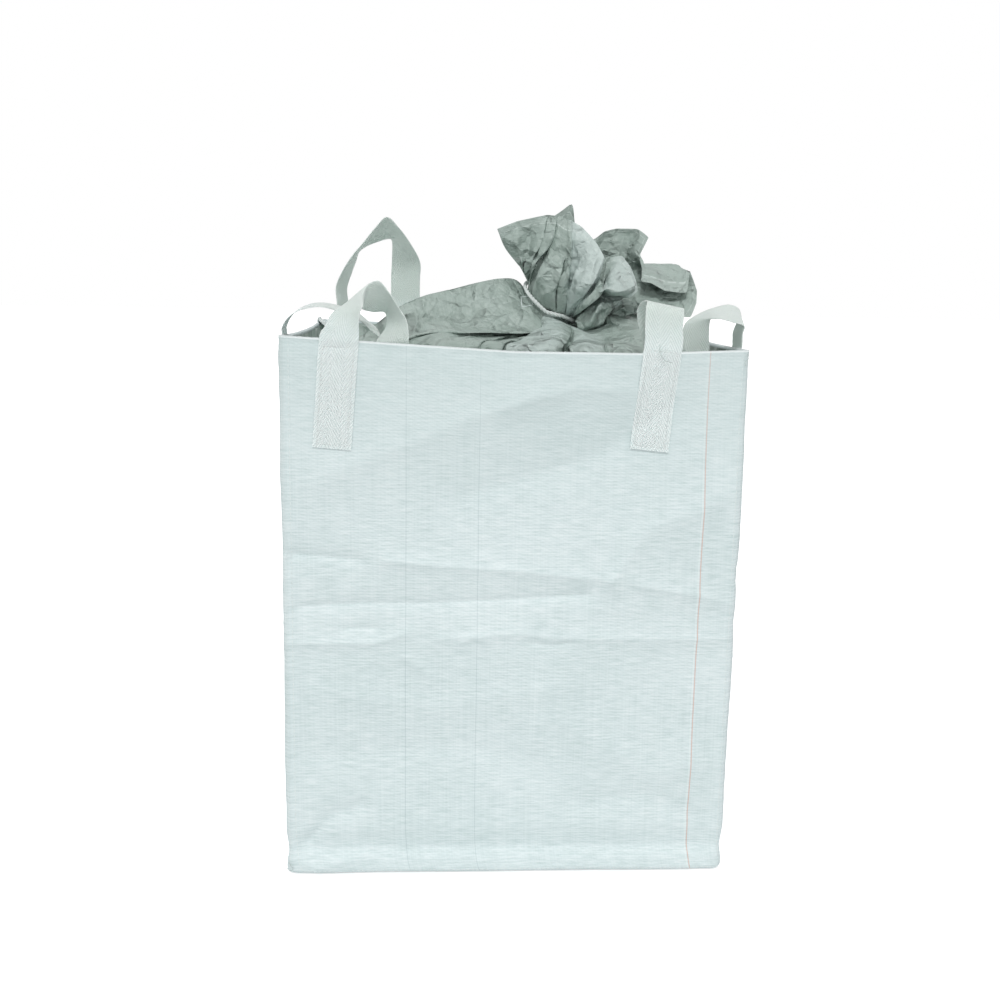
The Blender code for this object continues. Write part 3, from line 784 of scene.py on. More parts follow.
BACK_RIGHT_ROUTE = [
    ((0.163, 0.012, 0.052), (1.00, 0.00, -0.12)),
    ((0.174, 0.048, 0.072), (0.88, 0.00, -0.42)),
    ((0.192, 0.100, 0.078), (0.64, 0.00, -0.77)),
    ((0.206, 0.160, 0.076), (0.28, 0.10, -0.95)),
    ((0.196, 0.214, 0.072), (0.00, 0.00, -1.00)),
    ((0.156, 0.246, 0.070), (0.00, 0.00, -1.00)),
    ((0.108, 0.234, 0.072), (0.00, 0.20, -0.98)),
    ((0.068, 0.194, 0.076), (0.00, 0.50, -0.87)),
    ((0.032, 0.144, 0.072), (0.00, 0.80, -0.55)),
    ((0.006, 0.104, 0.050), (0.00, 0.96, -0.20)),
    OVER_RIM,
]
print("crowns of", len(FRONT_LEFT_CROWN), len(FRONT_RIGHT_CROWN), len(BACK_LEFT_CROWN), "rows")

# %% [markdown]
# A strap could be a curve with a flat profile, but Blender would then choose how the profile turns, and
# it would not fold where the picture shows it. Here both edges of the webbing are smooth curves through
# the stations. The ribbon is stretched straight between them, at even steps of its true length.

# %% A strap between its edges
LEG_LENGTH = 0.207
RISE_ABOVE_RIM = 0.021
STAND_OFF = 0.0022
SIDE_LEG_INSET = 0.090
# Points measured between two stations, and where a strap still lies on the wall.
MEASURES = 40
NEAR_WALL = 0.01
CLEAR_OF_WALL = 0.05


class Strap:
    """One strap between its two edges, by distance along it."""

    def __init__(self, corner, leg_at, leg_lean, crown, stations):
        self.corner = corner
        heights = [-LEG_LENGTH, -LEG_LENGTH / 2, 0]
        slope = leg_lean / LEG_LENGTH
        first_leg = [((leg_at + slope * up, -STAND_OFF, up), (1, 0, 0)) for up in heights]
        last_leg = [((-STAND_OFF, SIDE_LEG_INSET, up), (0, 1, 0)) for up in heights[::-1]]
        if not crown:
            first_leg.append(((leg_at + slope * RISE_ABOVE_RIM, -STAND_OFF, RISE_ABOVE_RIM), (1, 0, 0)))
        edges = self.by_corner(first_leg)
        edges += [(seen(*first), seen(*second)) for first, second in crown]
        edges += self.by_corner(stations + last_leg)
        self.edges = [list(edge) for edge in zip(*edges)]
        self.middles = [(first + second) / 2 for first, second in edges]
        self.places = [number / MEASURES for number in range(MEASURES * (len(edges) - 1) + 1)]
        spots = [through(self.middles, at) for at in self.places]
        self.gone = [0.0]
        for number in range(1, len(spots)):
            self.gone.append(self.gone[-1] + (spots[number] - spots[number - 1]).length)
        self.length = self.gone[-1]

    def by_corner(self, rows):
        """Both edges at stations counted from the corner, square to the way the strap goes."""
        start = Vector((self.corner[0] * HALF_WIDE, self.corner[1] * HALF_DEEP, RIM))
        points = [start + self.turned(Vector(point)) for point, _ in rows]
        edges = []
        for number, (_, way) in enumerate(rows):
            ahead = points[min(number + 1, len(rows) - 1)] - points[max(number - 1, 0)]
            across = self.turned(Vector(way))
            across = (across - across.project(ahead)).normalized() * WEBBING_WIDTH / 2
            edges.append((points[number] - across, points[number] + across))
        return edges

    def turned(self, inward):
        return Vector((-self.corner[0] * inward.x, -self.corner[1] * inward.y, inward.z))

    def place(self, across, along):
        """Where a point of the flat strap goes, counted across from its first edge and along it."""
        low = min(bisect(self.gone, along), len(self.gone) - 1) - 1
        share = (along - self.gone[low]) / (self.gone[low + 1] - self.gone[low])
        at = self.places[low] + share * (self.places[low + 1] - self.places[low])
        first, second = [through(edge, at) for edge in self.edges]
        spot = first.lerp(second, across / WEBBING_WIDTH)
        out = Vector((0, self.corner[1], 0)) if along < self.length / 2 else Vector((self.corner[0], 0, 0))
        on_wall = 1 - ease(spot.z, RIM, RIM + CLEAR_OF_WALL)
        if on_wall and out.dot(spot) > HALF_WIDE - NEAR_WALL:
            spot += out * wall_swell(spot.x, spot.y, min(spot.z, RIM)) * on_wall
        return spot


print("legs", LEG_LENGTH, "m long")

# %% Adding the loops
STRAP_STEPS = 260
STRAP_COLUMNS = 10
SOFT_EDGE = 0.0008
SHARP_EDGE = radians(60)


def add_loop(name, wall, corner, leg_at, leg_lean, crown, stations, tilt, bend_from, bend_to):
    """One strap as a thick ribbon with softened edges, in place of its solid parts."""
    strap = Strap(corner, leg_at, leg_lean, crown, stations)
    ribbon = flat_cloth(WEBBING_WIDTH, strap.length, STRAP_COLUMNS, STRAP_STEPS)
    lay_out(ribbon, strap.place)
    loop = add_piece(name, ribbon, webbing)
    thick = loop.modifiers.new("webbing", "SOLIDIFY")
    thick.thickness = WEBBING_THICKNESS
    thick.offset = 0.0
    soft = loop.modifiers.new("soft edge", "BEVEL")
    soft.width = SOFT_EDGE
    soft.segments = 2
    soft.limit_method = "ANGLE"
    soft.angle_limit = SHARP_EDGE
    side = "left" if corner[0] < 0 else "right"
    parts = [f"{wall}_leg", f"{wall}_bend", "arch", f"{side}_bend", f"{side}_leg"]
    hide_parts(*[f"{name}_{part}" for part in parts])
    # The third station from either end is where a leg comes to the rim.
    first_end, last_end = strap.middles[2], strap.middles[-3]
    middle = (first_end + last_end) / 2
    hinge = (last_end - first_end).normalized()
    inward = Vector((hinge.y, -hinge.x, 0))
    inward = inward if inward.dot(middle) < 0 else -inward
    way = inward * cos(radians(tilt)) + Vector((0, 0, sin(radians(tilt))))
    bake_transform(loop)
    print(name, "strap", round(strap.length, 3), "m")
    return strap


# Each row has a loop's name, the wall and the corner of its first leg, how far from the corner that leg
# is sewn and how far it leans, and its stations. Then three numbers for a bend: how steeply its way
# goes up from the legs, in degrees, and from and to which distance along the strap.
LOOPS = [
    ("front_left_loop", "front", (-1, -1), 0.111, 0.015,
     FRONT_LEFT_CROWN, FRONT_LEFT_ROUTE, 35, 0.004, 0.050),
    ("front_right_loop", "front", (1, -1), 0.165, -0.019,
     FRONT_RIGHT_CROWN, [OVER_RIM], 10, 0.002, 0.022),
    ("back_left_loop", "back", (-1, 1), 0.2165, 0.0,
     BACK_LEFT_CROWN, [OVER_BACK_LEFT_RIM], 60, 0.004, 0.060),
    ("back_right_loop", "back", (1, 1), 0.160, 0.0,
     [], BACK_RIGHT_ROUTE, 40, 0.004, 0.060),
]
straps = [add_loop(*row) for row in LOOPS]

# %% [markdown]
# ## The filling skirt
# The skirt is a tube of thin coated cloth sewn inside the rim, gathered in a fist and tied. It is too
# long and too wide for where it lies, so it crumples: sharp creases run out from the tie, and slack cloth
# sags towards the walls. A greyer green than the sack, it is thin enough to shine along each fold. The
# big folds are shaped as cloth. The small facets between creases, too many to shape, are left to the
# material, as flat cells that tilt the light.

# %% Facets between creases
def facets(tree, place, size, slope):
    """Heights in metres of flat facets between straight creases, for cells of one size."""
    to_edge = {"feature": "DISTANCE_TO_EDGE", "Scale": 1 / size}
    edges = add_node(tree, "TexVoronoi", to_edge, {"Vector": place})
    cells = add_node(tree, "TexVoronoi", {"Scale": 1 / size}, {"Vector": place})
    chance = add_node(tree, "SeparateXYZ", links={0: cells.outputs["Color"]}).outputs["X"]
    steep = ranged(tree, chance, to_low=-slope * size, to_high=slope * size)
    return reckon(tree, "MULTIPLY", steep, edges.outputs["Distance"])


# Sizes of facets in metres, each with its steepest slope.
FACETS = [(0.085, 0.72), (0.038, 0.58), (0.015, 0.40)]
print(len(FACETS), "sizes of facets")

# %% Skirt cloth material
SKIRT_LENGTH = 0.50
RUFFLE_LENGTH = 0.24
HEM_BAND = 0.021
HEM_ROW = SKIRT_LENGTH + RUFFLE_LENGTH - HEM_BAND
HEM_STITCH = 0.0045
HEM_THREAD = 0.0018

skirt_cloth, tree, shader = start_material("thin coated polypropylene", 0.46)
metres, across, along = flat_place(tree)
broad_tone = streaks(tree, metres, 9, 11, 21.0)
thread_tone = streaks(tree, metres, 14, 260, 27.0)
tone = ranged(tree, part_way(tree, 0.4, broad_tone, thread_tone), 0.35, 0.65)
film = spread(tree, tone, ["#8F9E97", "#9DACA5", "#AAB8B2"])

# The turned hem is double and a little paler, a painted sheen makes cloth that is drawn smooth paler
# still, and stitches hold the hem.
film = tinted(tree, film, "#C3CEC9", ranged(tree, along, HEM_ROW - 0.001, HEM_ROW, 0.0, 0.15))
painted_sheen = add_node(tree, "Attribute", {"attribute_name": "painted_sheen_share"}).outputs["Fac"]
film = tinted(tree, film, "#D2DFDD", painted_sheen)
dash = ranged(tree, reckon(tree, "PINGPONG", across, HEM_STITCH), 0.0008, 0.0016)
hem_stitches = reckon(tree, "MULTIPLY", line_at(tree, along, HEM_ROW, HEM_THREAD), dash)
film = tinted(tree, film, "#BFCBC6", hem_stitches)
tree.links.new(film, shader.inputs["Base Color"])

over = weave(tree, across, along)
normal = add_node(tree, "Bump", {"Strength": 0.3, "Distance": 0.0004}, {"Height": over}).outputs[0]
in_space = add_node(tree, "TexCoord").outputs["Object"]
for size, slope in FACETS:
    sources = {"Height": facets(tree, in_space, size, slope), "Normal": normal}
    normal = add_node(tree, "Bump", {"Strength": 1.0, "Distance": 1.0}, sources).outputs[0]
tree.links.new(normal, shader.inputs["Normal"])
print("skirt cloth ready")

# %% [markdown]
# All gathered cloth meets at the neck, a ring under the tie that leans to the right and forward. One
# function gives any point round it, for the skirt below, the ruffle above and the cord itself, so the
# three meet without a gap.

# %% Where the neck is
NECK_CENTRE = Vector((0.100, -0.050, RIM + 0.065))
NECK_AXIS = Vector((0.549, -0.292, 0.780)).normalized()
NECK_RADIUS = 0.062
TIE_DIAMETER = 0.009
NECK_FRONT = (Vector((0, -1, 0)) - Vector((0, -1, 0)).project(NECK_AXIS)).normalized()
NECK_RIGHT = NECK_AXIS.cross(NECK_FRONT)
# The cord is pulled up a little right of its front.
NECK_LIFT = [(0.0, 0.0), (0.08, 0.011), (0.16, 0.008), (0.24, 0.0), (1.0, 0.0)]


def neck_point(share, radius, along):
    """A point round the neck, a share of a turn from its front rightwards."""
    turn = 2 * pi * share
    lifted = NECK_CENTRE + NECK_AXIS * (along + between(NECK_LIFT, share % 1))
    return lifted + (NECK_FRONT * cos(turn) + NECK_RIGHT * sin(turn)) * radius


print("neck", round(2000 * NECK_RADIUS), "mm thick")

# %% [markdown]
# A cloth simulation could gather the skirt, but it would settle into folds of its own. To get the folds
# of the picture, the cloth is hung on ribs, threads that run from its lower to its upper edge, one for
# each fold or valley. Between two ribs it is nearly flat, which gives thin coated cloth its sharp folds.

# %% Cloth hung on ribs
FOLD_SHARPNESS = 0.8
LAST_SHARE = 0.999999


class RibbedTube:
    """A tube of cloth through ribs, which run from its lower to its upper edge, in order round it."""

    def __init__(self, ribs, places, width, length, steps):
        self.width, self.length, self.steps = width, length, steps
        self.rows = [[self.on_rib(rib, places, step / steps) for rib in ribs] for step in range(steps + 1)]
        self.marks = [0.0]
        for number in range(len(ribs)):
            following = (number + 1) % len(ribs)
            gaps = [(row[following] - row[number]).length for row in self.rows]
            self.marks.append(self.marks[-1] + sum(gaps))
        self.marks = [mark / self.marks[-1] for mark in self.marks]

    def on_rib(self, rib, places, way):
        number = 0
        while number < len(places) - 2 and way > places[number + 1]:
            number += 1
        share = (way - places[number]) / (places[number + 1] - places[number])
        return through(rib, number + share)

    def place(self, across, along):
        """Where a point of the flat cloth goes: nearly on the flat run between two ribs."""
        row = self.rows[round(along / self.length * self.steps)]
        low, part = self.between_ribs(across)
        near = [row[(low + step) % len(row)] for step in (-1, 0, 1, 2)]
        straight = near[1].lerp(near[2], part)
        return straight.lerp(through(near, 1 + part), 1 - FOLD_SHARPNESS)

    def between_ribs(self, across):
        """The number of the rib before a place across the cloth, and the share of the way to the next."""
        share = min(across / self.width, LAST_SHARE)
        low = bisect(self.marks, share) - 1
        return low, (share - self.marks[low]) / (self.marks[low + 1] - self.marks[low])

    def value(self, across, values):
        """A value at a place across the cloth, from those at its ribs, which are 1 where none is given."""
        low, part = self.between_ribs(across)
        following = (low + 1) % (len(self.marks) - 1)
        return values.get(low, 1.0) * (1 - part) + values.get(following, 1.0) * part


print("folds", FOLD_SHARPNESS, "sharp")


# %% Values along the ribs
def by_rib(single, *runs):
    """Values by the number of a rib: single ones, then runs from one rib to just before another."""
    values = dict(single)
    for first, end, value in runs:
        values |= {number: value for number in range(first, end)}
    return values


def mark_painted_sheen(cloth, tube, kept, fade):
    """Marks where a painted sheen pales smooth cloth, from the share of its colour that it keeps at each
    rib.
    """
    mark = cloth.verts.layers.float.new("painted_sheen_share")
    for spot in cloth.verts:
        spot[mark] = (1 - tube.value(spot.co.x, kept)) * fade(spot.co.y)


print("one run of ribs:", by_rib({}, (3, 5, 0.5)))

# %% [markdown]
# Ribs at the front are read off the picture. At the back, where it shows nothing, they follow a table of
# heights round the mouth, and every second one dips, so the cloth hangs in slack folds there too.

# %% Ribs of the lower skirt
# Share of the cloth from the rim, share of the way in, and heights over the rim from the front on round
# by eighths.
SKIRT_ROWS = [
    (0.00, 0.000, (-0.006,) * 8),
    (0.05, 0.004, (-0.030,) * 8),
    (0.16, 0.030, (-0.075, -0.065, -0.050, -0.045, -0.035, -0.030, -0.030, -0.065)),
    (0.30, 0.100, (-0.110, -0.110, -0.085, -0.075, -0.060, -0.060, -0.060, -0.110)),
    (0.50, 0.280, (-0.100, -0.090, -0.060, -0.055, -0.045, -0.040, -0.025, -0.100)),
    (0.70, 0.520, (-0.045, -0.010, 0.010, 0.000, 0.010, 0.015, 0.025, -0.060)),
    (0.88, 0.800, (0.008, 0.040, 0.050, 0.040, 0.055, 0.060, 0.065, -0.010)),
]
SKIRT_PLACES = [row[0] for row in SKIRT_ROWS] + [0.975, 1.0]
# Four rows lie out of sight behind the rim. Dips begin after row number 2 and are deepest at the last.
HIDDEN_ROWS = 4
DIP_FROM = 2

# One row for each fold that shows, from the top of the left flap rightwards: where round the mouth and
# round the neck its thread ends, then three places on it as pixels across and down and a judged depth in
# metres.
SKIRT_RIBS = [
    (0.755, 0.700, (398, 307, -0.10), (450, 289, -0.07), (508, 278, -0.05)),
    (0.790, 0.830, (409, 317, -0.15), (456, 317, -0.13), (514, 308, -0.115)),
    (0.850, 0.960, (410, 338, -0.27), (474, 333, -0.22), (537, 332, -0.175)),
    (0.870, 0.963, (412, 336, -0.24), (476, 330, -0.185), (530, 326, -0.10)),
    (0.950, 0.970, (440, 345, -0.34), (462, 337, -0.22), (530, 329, -0.115)),
    (0.968, 0.974, (464, 347, -0.36), (468, 337, -0.24), (531, 330, -0.120)),
    (0.972, 0.978, (467, 347, -0.35), (472, 338, -0.228), (532, 330, -0.118)),
    (0.978, 0.980, (478, 348, -0.36), (497, 339, -0.24), (533, 330, -0.130)),
    (0.981, 0.983, (480, 348, -0.335), (499, 340, -0.215), (534, 331, -0.120)),
    (0.987, 0.986, (489, 349, -0.36), (510, 340, -0.24), (535, 331, -0.135)),
    (0.993, 0.990, (502, 349, -0.36), (519, 340, -0.24), (536, 331, -0.135)),
    (0.996, 0.993, (504, 350, -0.335), (521, 340, -0.215), (537, 331, -0.120)),
    (1.000, 0.996, (506, 350, -0.36), (523, 338, -0.25), (538, 326, -0.125)),
    (1.008, 1.020, (524, 351, -0.385), (537, 338, -0.275), (546, 325, -0.150)),
    (1.018, 1.065, (545, 352, -0.390), (553, 337, -0.282), (557, 325, -0.160)),
    (1.026, 1.100, (556, 353, -0.385), (562, 339, -0.290), (563, 326, -0.180)),
    (1.031, 1.130, (563, 353, -0.36), (569, 341, -0.265), (571, 328, -0.170)),
    (1.034, 1.135, (566, 353, -0.28), (570, 341, -0.215), (572, 328, -0.150)),
    (1.038, 1.140, (570, 353, -0.36), (573, 341, -0.26), (574, 329, -0.160)),
    (1.048, 1.165, (588, 353, -0.385), (586, 341, -0.280), (580, 330, -0.170)),
    (1.057, 1.190, (602, 353, -0.37), (602, 344, -0.270), (588, 332, -0.155)),
    (1.060, 1.195, (606, 353, -0.34), (605, 340, -0.235), (590, 328, -0.125)),
    (1.064, 1.200, (610, 353, -0.36), (608, 340, -0.25), (592, 329, -0.13)),
    (1.072, 1.205, (626, 353, -0.36), (618, 338, -0.23), (597, 327, -0.13)),
    (1.085, 1.215, (645, 351, -0.32), (632, 326, -0.16), (608, 314, -0.08)),
    (1.110, 1.230, (688, 346, -0.22), (655, 319, -0.08), (620, 307, -0.05)),
]
print(len(SKIRT_RIBS), "folds read off the picture")

# %% Threads from the rim to the tie
SKIRT_INSET = 0.0075
MOUTH_CORNER = 0.012
# The middle of the front wall, as a share of the way round.
FRONT_MIDDLE = 0.375
UNDER_TIE = -0.012
PINCHED_RADIUS = NECK_RADIUS - 0.002
HIDDEN_RIBS = 22
HIDDEN_FROM, HIDDEN_TO = 1.14, 1.73
HIDDEN_NECK_FROM, HIDDEN_NECK_TO = 1.24, 1.705
HIDDEN_DIP = 0.030


def round_heights(heights, share):
    """A height at a share of the way round the mouth, eased from one given place to the next."""
    at = (share % 1) * len(heights)
    side = int(at) % len(heights)
    blend = ease(at - int(at), 0, 1)
    return heights[side] * (1 - blend) + heights[(side + 1) % len(heights)] * blend


def skirt_rib(rim_share, neck_share, places=(), dip=0.0):
    """One thread from the rim to the tie, by the rows above, with its upper places given or in a dip."""
    half_wide, half_deep = HALF_WIDE - SKIRT_INSET, HALF_DEEP - SKIRT_INSET
    rim, _ = round_square((rim_share + FRONT_MIDDLE) % 1, half_wide, half_deep, MOUTH_CORNER)
    neck = neck_point(neck_share, NECK_RADIUS, UNDER_TIE)
    thread = []
    for number, (_, inward, heights) in enumerate(SKIRT_ROWS):
        spot = rim.lerp(neck.xy, inward)
        sunk = dip * max(0, number - DIP_FROM) / (len(SKIRT_ROWS) - 1 - DIP_FROM)
        edge = rim_lift(spot.x, spot.y) if number < HIDDEN_ROWS else 0.0
        thread.append(Vector((spot.x, spot.y, RIM + edge + round_heights(heights, rim_share) - sunk)))
    if places:
        thread[HIDDEN_ROWS:] = [seen(*place) for place in places]
    return thread + [neck, neck_point(neck_share, PINCHED_RADIUS, 0.0)]


skirt_ribs = [skirt_rib(rim_share, neck_share, places) for rim_share, neck_share, *places in SKIRT_RIBS]
for number in range(HIDDEN_RIBS):
    share = number / (HIDDEN_RIBS - 1)
    rim_share = HIDDEN_FROM + (HIDDEN_TO - HIDDEN_FROM) * share
    neck_share = HIDDEN_NECK_FROM + (HIDDEN_NECK_TO - HIDDEN_NECK_FROM) * share
    skirt_ribs.append(skirt_rib(rim_share, neck_share, dip=HIDDEN_DIP * (number % 2)))
print("lower skirt on", len(skirt_ribs), "ribs")

# %% [markdown]
# Laid on its ribs alone the cloth would look ironed. It is crushed into facets as well, but less where
# the picture shows clean folds. Where the tie draws the cloth smooth, a painted sheen makes it paler,
# and an attribute tells the material where.

# %% Laying the lower skirt
SKIRT_ROUND = 3.6
SKIRT_STEPS = 640
SKIRT_RISE_STEPS = 100
SKIRT_SEED = 50.0
# Ribs by number: the share of the crushing that they keep, then the share of colour the painted sheen
# leaves.
SKIRT_CALM = by_rib({0: 0.15, 2: 0.2}, (3, 26, 0.25))
SKIRT_SHEEN = {12: 0.75, 13: 0.6, 14: 0.6, 15: 0.75, 18: 0.8, 19: 0.65, 20: 0.75}


def skirt_rough(across, along, spot):
    way = along / SKIRT_LENGTH
    free = ease(way, 0.15, 0.45) * (1 - 0.8 * ease(way, 0.85, 1.0))
    return crushed(spot, SKIRT_SEED) * free * tube.value(across, SKIRT_CALM)


tube = RibbedTube(skirt_ribs, SKIRT_PLACES, SKIRT_ROUND, SKIRT_LENGTH, SKIRT_RISE_STEPS)
cloth = flat_cloth(SKIRT_ROUND, SKIRT_LENGTH, SKIRT_STEPS, SKIRT_RISE_STEPS)
mark_painted_sheen(cloth, tube, SKIRT_SHEEN, lambda along: ease(along / SKIRT_LENGTH, 0.3, 0.5))
lay_out(cloth, tube.place, skirt_rough)
bmesh.ops.remove_doubles(cloth, verts=cloth.verts, dist=WELD)
skirt = add_piece("skirt_cloth", cloth, skirt_cloth)
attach(skirt, "bag")
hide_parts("skirt")
print("skirt area", round(sum(face.area for face in skirt.data.polygons), 3), "m2")

# %% [markdown]
# ## The ruffle
# Above the tie the skirt opens again into a ruffle of a few big lobes. Each place on its hem was read off:
# where the lobe's tip is, and which part of the neck its cloth comes from. Round the tie the real
# cloth is as long as the skirt is, 3.6 m. Only 1.6 m of it is shaped here, because the rest lies in
# pleats too fine to shape.

# %% Ribs of the ruffle
# One row for each fold or valley, from the back of the left lobe rightwards: the share of a turn round
# the neck that its thread comes from, then a low, a middle and a hem place as pixels across and down and
# a judged depth in metres.
RUFFLE_RIBS = [
    (0.650, (528, 266, -0.02), (513, 247, -0.02), (509, 231, -0.02)),
    (0.700, (519, 267, -0.060), (505, 248, -0.065), (497, 229, -0.065)),
    (0.725, (522, 266, -0.092), (516, 246, -0.090), (518, 221, -0.090)),
    (0.745, (526, 265, -0.086), (530, 244, -0.080), (536, 217, -0.092)),
    (0.762, (529, 265, -0.105), (541, 244, -0.105), (547, 215, -0.100)),
    (0.767, (530, 265, -0.092), (542, 244, -0.094), (548, 215, -0.101)),
    (0.772, (531, 265, -0.108), (543, 244, -0.112), (549, 215, -0.102)),
    (0.797, (535, 267, -0.112), (550, 243, -0.120), (557, 216, -0.108)),
    (0.802, (536, 267, -0.094), (551, 243, -0.102), (558, 216, -0.108)),
    (0.807, (537, 268, -0.110), (552, 244, -0.112), (559, 216, -0.108)),
    (0.880, (541, 277, -0.130), (556, 250, -0.122), (562, 217, -0.110)),
    (0.960, (548, 286, -0.138), (561, 255, -0.128), (564, 218, -0.112)),
    (1.045, (556, 289, -0.140), (566, 258, -0.132), (566, 219, -0.113)),
    (1.050, (557, 289, -0.108), (567, 258, -0.130), (567, 219, -0.113)),
    (1.055, (558, 289, -0.138), (567, 258, -0.132), (567, 219, -0.114)),
    (1.085, (563, 288, -0.150), (570, 258, -0.140), (569, 220, -0.116)),
    (1.110, (568, 288, -0.142), (573, 258, -0.138), (570, 220, -0.117)),
    (1.115, (569, 288, -0.112), (574, 258, -0.128), (571, 220, -0.118)),
    (1.120, (570, 288, -0.148), (575, 258, -0.140), (572, 221, -0.112)),
    (1.140, (578, 289, -0.176), (586, 257, -0.165), (582, 227, -0.122)),
    (1.160, (584, 289, -0.185), (594, 264, -0.178), (597, 243, -0.145)),
    (1.180, (588, 291, -0.185), (599, 273, -0.182), (605, 258, -0.160)),
    (1.184, (583, 298, -0.150), (591, 289, -0.145), (600, 276, -0.130)),
    (1.188, (583, 304, -0.172), (594, 290, -0.180), (601, 281, -0.168)),
    (1.191, (586, 308, -0.172), (599, 298, -0.180), (604, 291, -0.165)),
    (1.194, (588, 304, -0.140), (600, 294, -0.135), (605, 280, -0.120)),
    (1.200, (590, 299, -0.110), (603, 277, -0.105), (607, 258, -0.100)),
    (1.204, (597, 294, -0.150), (612, 270, -0.130), (622, 256, -0.080)),
    (1.208, (600, 293, -0.172), (618, 278, -0.160), (631, 267, -0.105)),
    (1.212, (601, 292, -0.182), (621, 286, -0.180), (636, 279, -0.125)),
    (1.216, (602, 291, -0.185), (620, 292, -0.188), (638, 291, -0.145)),
    (1.220, (601, 291, -0.180), (615, 295, -0.185), (630, 298, -0.155)),
    (1.225, (597, 297, -0.100), (607, 299, -0.100), (622, 299, -0.090)),
    (1.230, (596, 305, -0.155), (608, 299, -0.150), (624, 299, -0.140)),
    (1.235, (592, 314, -0.165), (604, 309, -0.160), (619, 306, -0.140)),
    (1.240, (586, 328, -0.150), (598, 324, -0.145), (611, 313, -0.130)),
    (1.250, (590, 318, -0.100), (602, 311, -0.095), (617, 303, -0.095)),
    (1.270, (606, 314, -0.105), (630, 308, -0.105), (650, 309, -0.110)),
    (1.285, (614, 315, -0.110), (650, 312, -0.115), (672, 315, -0.120)),
    (1.300, (622, 313, -0.100), (668, 312, -0.100), (690, 318, -0.100)),
    (1.315, (628, 306, -0.060), (680, 300, -0.055), (696, 304, -0.060)),
    (1.330, (628, 295, -0.030), (678, 282, -0.020), (697, 291, -0.045)),
    (1.345, (626, 288, -0.010), (676, 269, 0.000), (690, 271, -0.020)),
    (1.360, (622, 283, 0.000), (676, 264, 0.010), (687, 292, -0.075)),
    (1.375, (618, 281, 0.005), (664, 263, 0.010), (666, 291, -0.085)),
    (1.390, (612, 279, 0.000), (650, 263, 0.005), (651, 283, -0.080)),
    (1.405, (605, 277, -0.010), (638, 262, -0.005), (641, 281, -0.070)),
    (1.415, (604, 273, 0.000), (634, 256, 0.000), (644, 263, -0.020)),
    (1.430, (603, 270, 0.000), (628, 252, 0.010), (640, 255, 0.000)),
    (1.450, (604, 265, 0.020), (634, 246, 0.030), (649, 238, 0.020)),
    (1.475, (602, 259, 0.030), (628, 240, 0.050), (638, 229, 0.050)),
    (1.500, (596, 257, 0.035), (614, 240, 0.050), (618, 228, 0.055)),
    (1.520, (590, 257, 0.030), (602, 243, 0.045), (606, 231, 0.050)),
    (1.545, (580, 258, 0.020), (590, 248, 0.030), (592, 240, 0.030)),
    (1.560, (562, 262, 0.000), (570, 243, 0.000), (576, 229, -0.010)),
    (1.575, (558, 258, 0.000), (566, 233, 0.000), (573, 207, -0.010)),
    (1.585, (556, 258, 0.000), (563, 232, 0.000), (571, 204, -0.008)),
    (1.600, (550, 258, 0.000), (556, 236, 0.000), (554, 216, -0.010)),
    (1.625, (538, 262, 0.000), (535, 240, 0.000), (532, 224, -0.010)),
]
RUFFLE_PLACES = [0.0, 0.36, 0.68, 1.0]
print(len(RUFFLE_RIBS), "folds of the ruffle read off the picture")

# %% Leaves inside the ruffle
# Behind the front lobe the cloth goes left and right in leaves, which stay lower than it.
LEAVES = 9
LEAF_LEFT = [(534, 273), (524, 254), (517, 238)]
LEAF_RIGHT = [(562, 280), (576, 259), (586, 244)]
LEAF_FROM, LEAF_TO = 1.632, 1.644
LEAF_BACK, LEAF_GAP = 0.010, 0.011
LEAF_DRIFT = 0.004
LEAF_STRAY_PIXELS = 16

ruffle_ribs = []
for share, *places in RUFFLE_RIBS:
    ruffle_ribs.append([neck_point(share, PINCHED_RADIUS, 0.0)] + [seen(*place) for place in places])
for number in range(LEAVES):
    depth = LEAF_BACK - LEAF_GAP * number + LEAF_DRIFT * noise.noise((number * 3.7, 1.0, 0.0))
    stray = LEAF_STRAY_PIXELS * noise.noise((number * 2.3, 5.0, 0.0))
    leaf = [neck_point(LEAF_FROM + (LEAF_TO - LEAF_FROM) * number / LEAVES, PINCHED_RADIUS, 0.0)]
    for reach, (across, down) in enumerate(LEAF_LEFT if number % 2 else LEAF_RIGHT):
        leaf.append(seen(across + stray * reach / 2, down + abs(stray) * reach / 3, depth))
    ruffle_ribs.append(leaf)
print("ruffle on", len(ruffle_ribs), "ribs")

# %% [markdown]
# The ruffle goes on with the skirt's cloth, so its flat place starts where the skirt's ends, and the
# weave and the hem's stitches run on.

# %% Laying the ruffle
RUFFLE_ROUND = 1.6
RUFFLE_STEPS = 760
RUFFLE_RISE_STEPS = 76
RUFFLE_SEED = 60.0
# Ribs by number, as for the skirt: the petal and its neighbours, then the hood, are crushed less and get a
# painted sheen.
RUFFLE_CALM = by_rib({0: 0.2, 1: 0.1}, (11, 19, 0.45), (19, 33, 0.2), (39, 47, 0.5))
RUFFLE_SHEEN = by_rib({0: 0.8, 1: 0.8, 16: 0.8}, (17, 23, 0.45), (27, 34, 0.55))


def ruffle_rough(across, along, spot):
    way = along / RUFFLE_LENGTH
    free = ease(way, 0.05, 0.35) * (1 - 0.7 * ease(way, 0.75, 1.0))
    return crushed(spot, RUFFLE_SEED) * free * tube.value(across, RUFFLE_CALM)


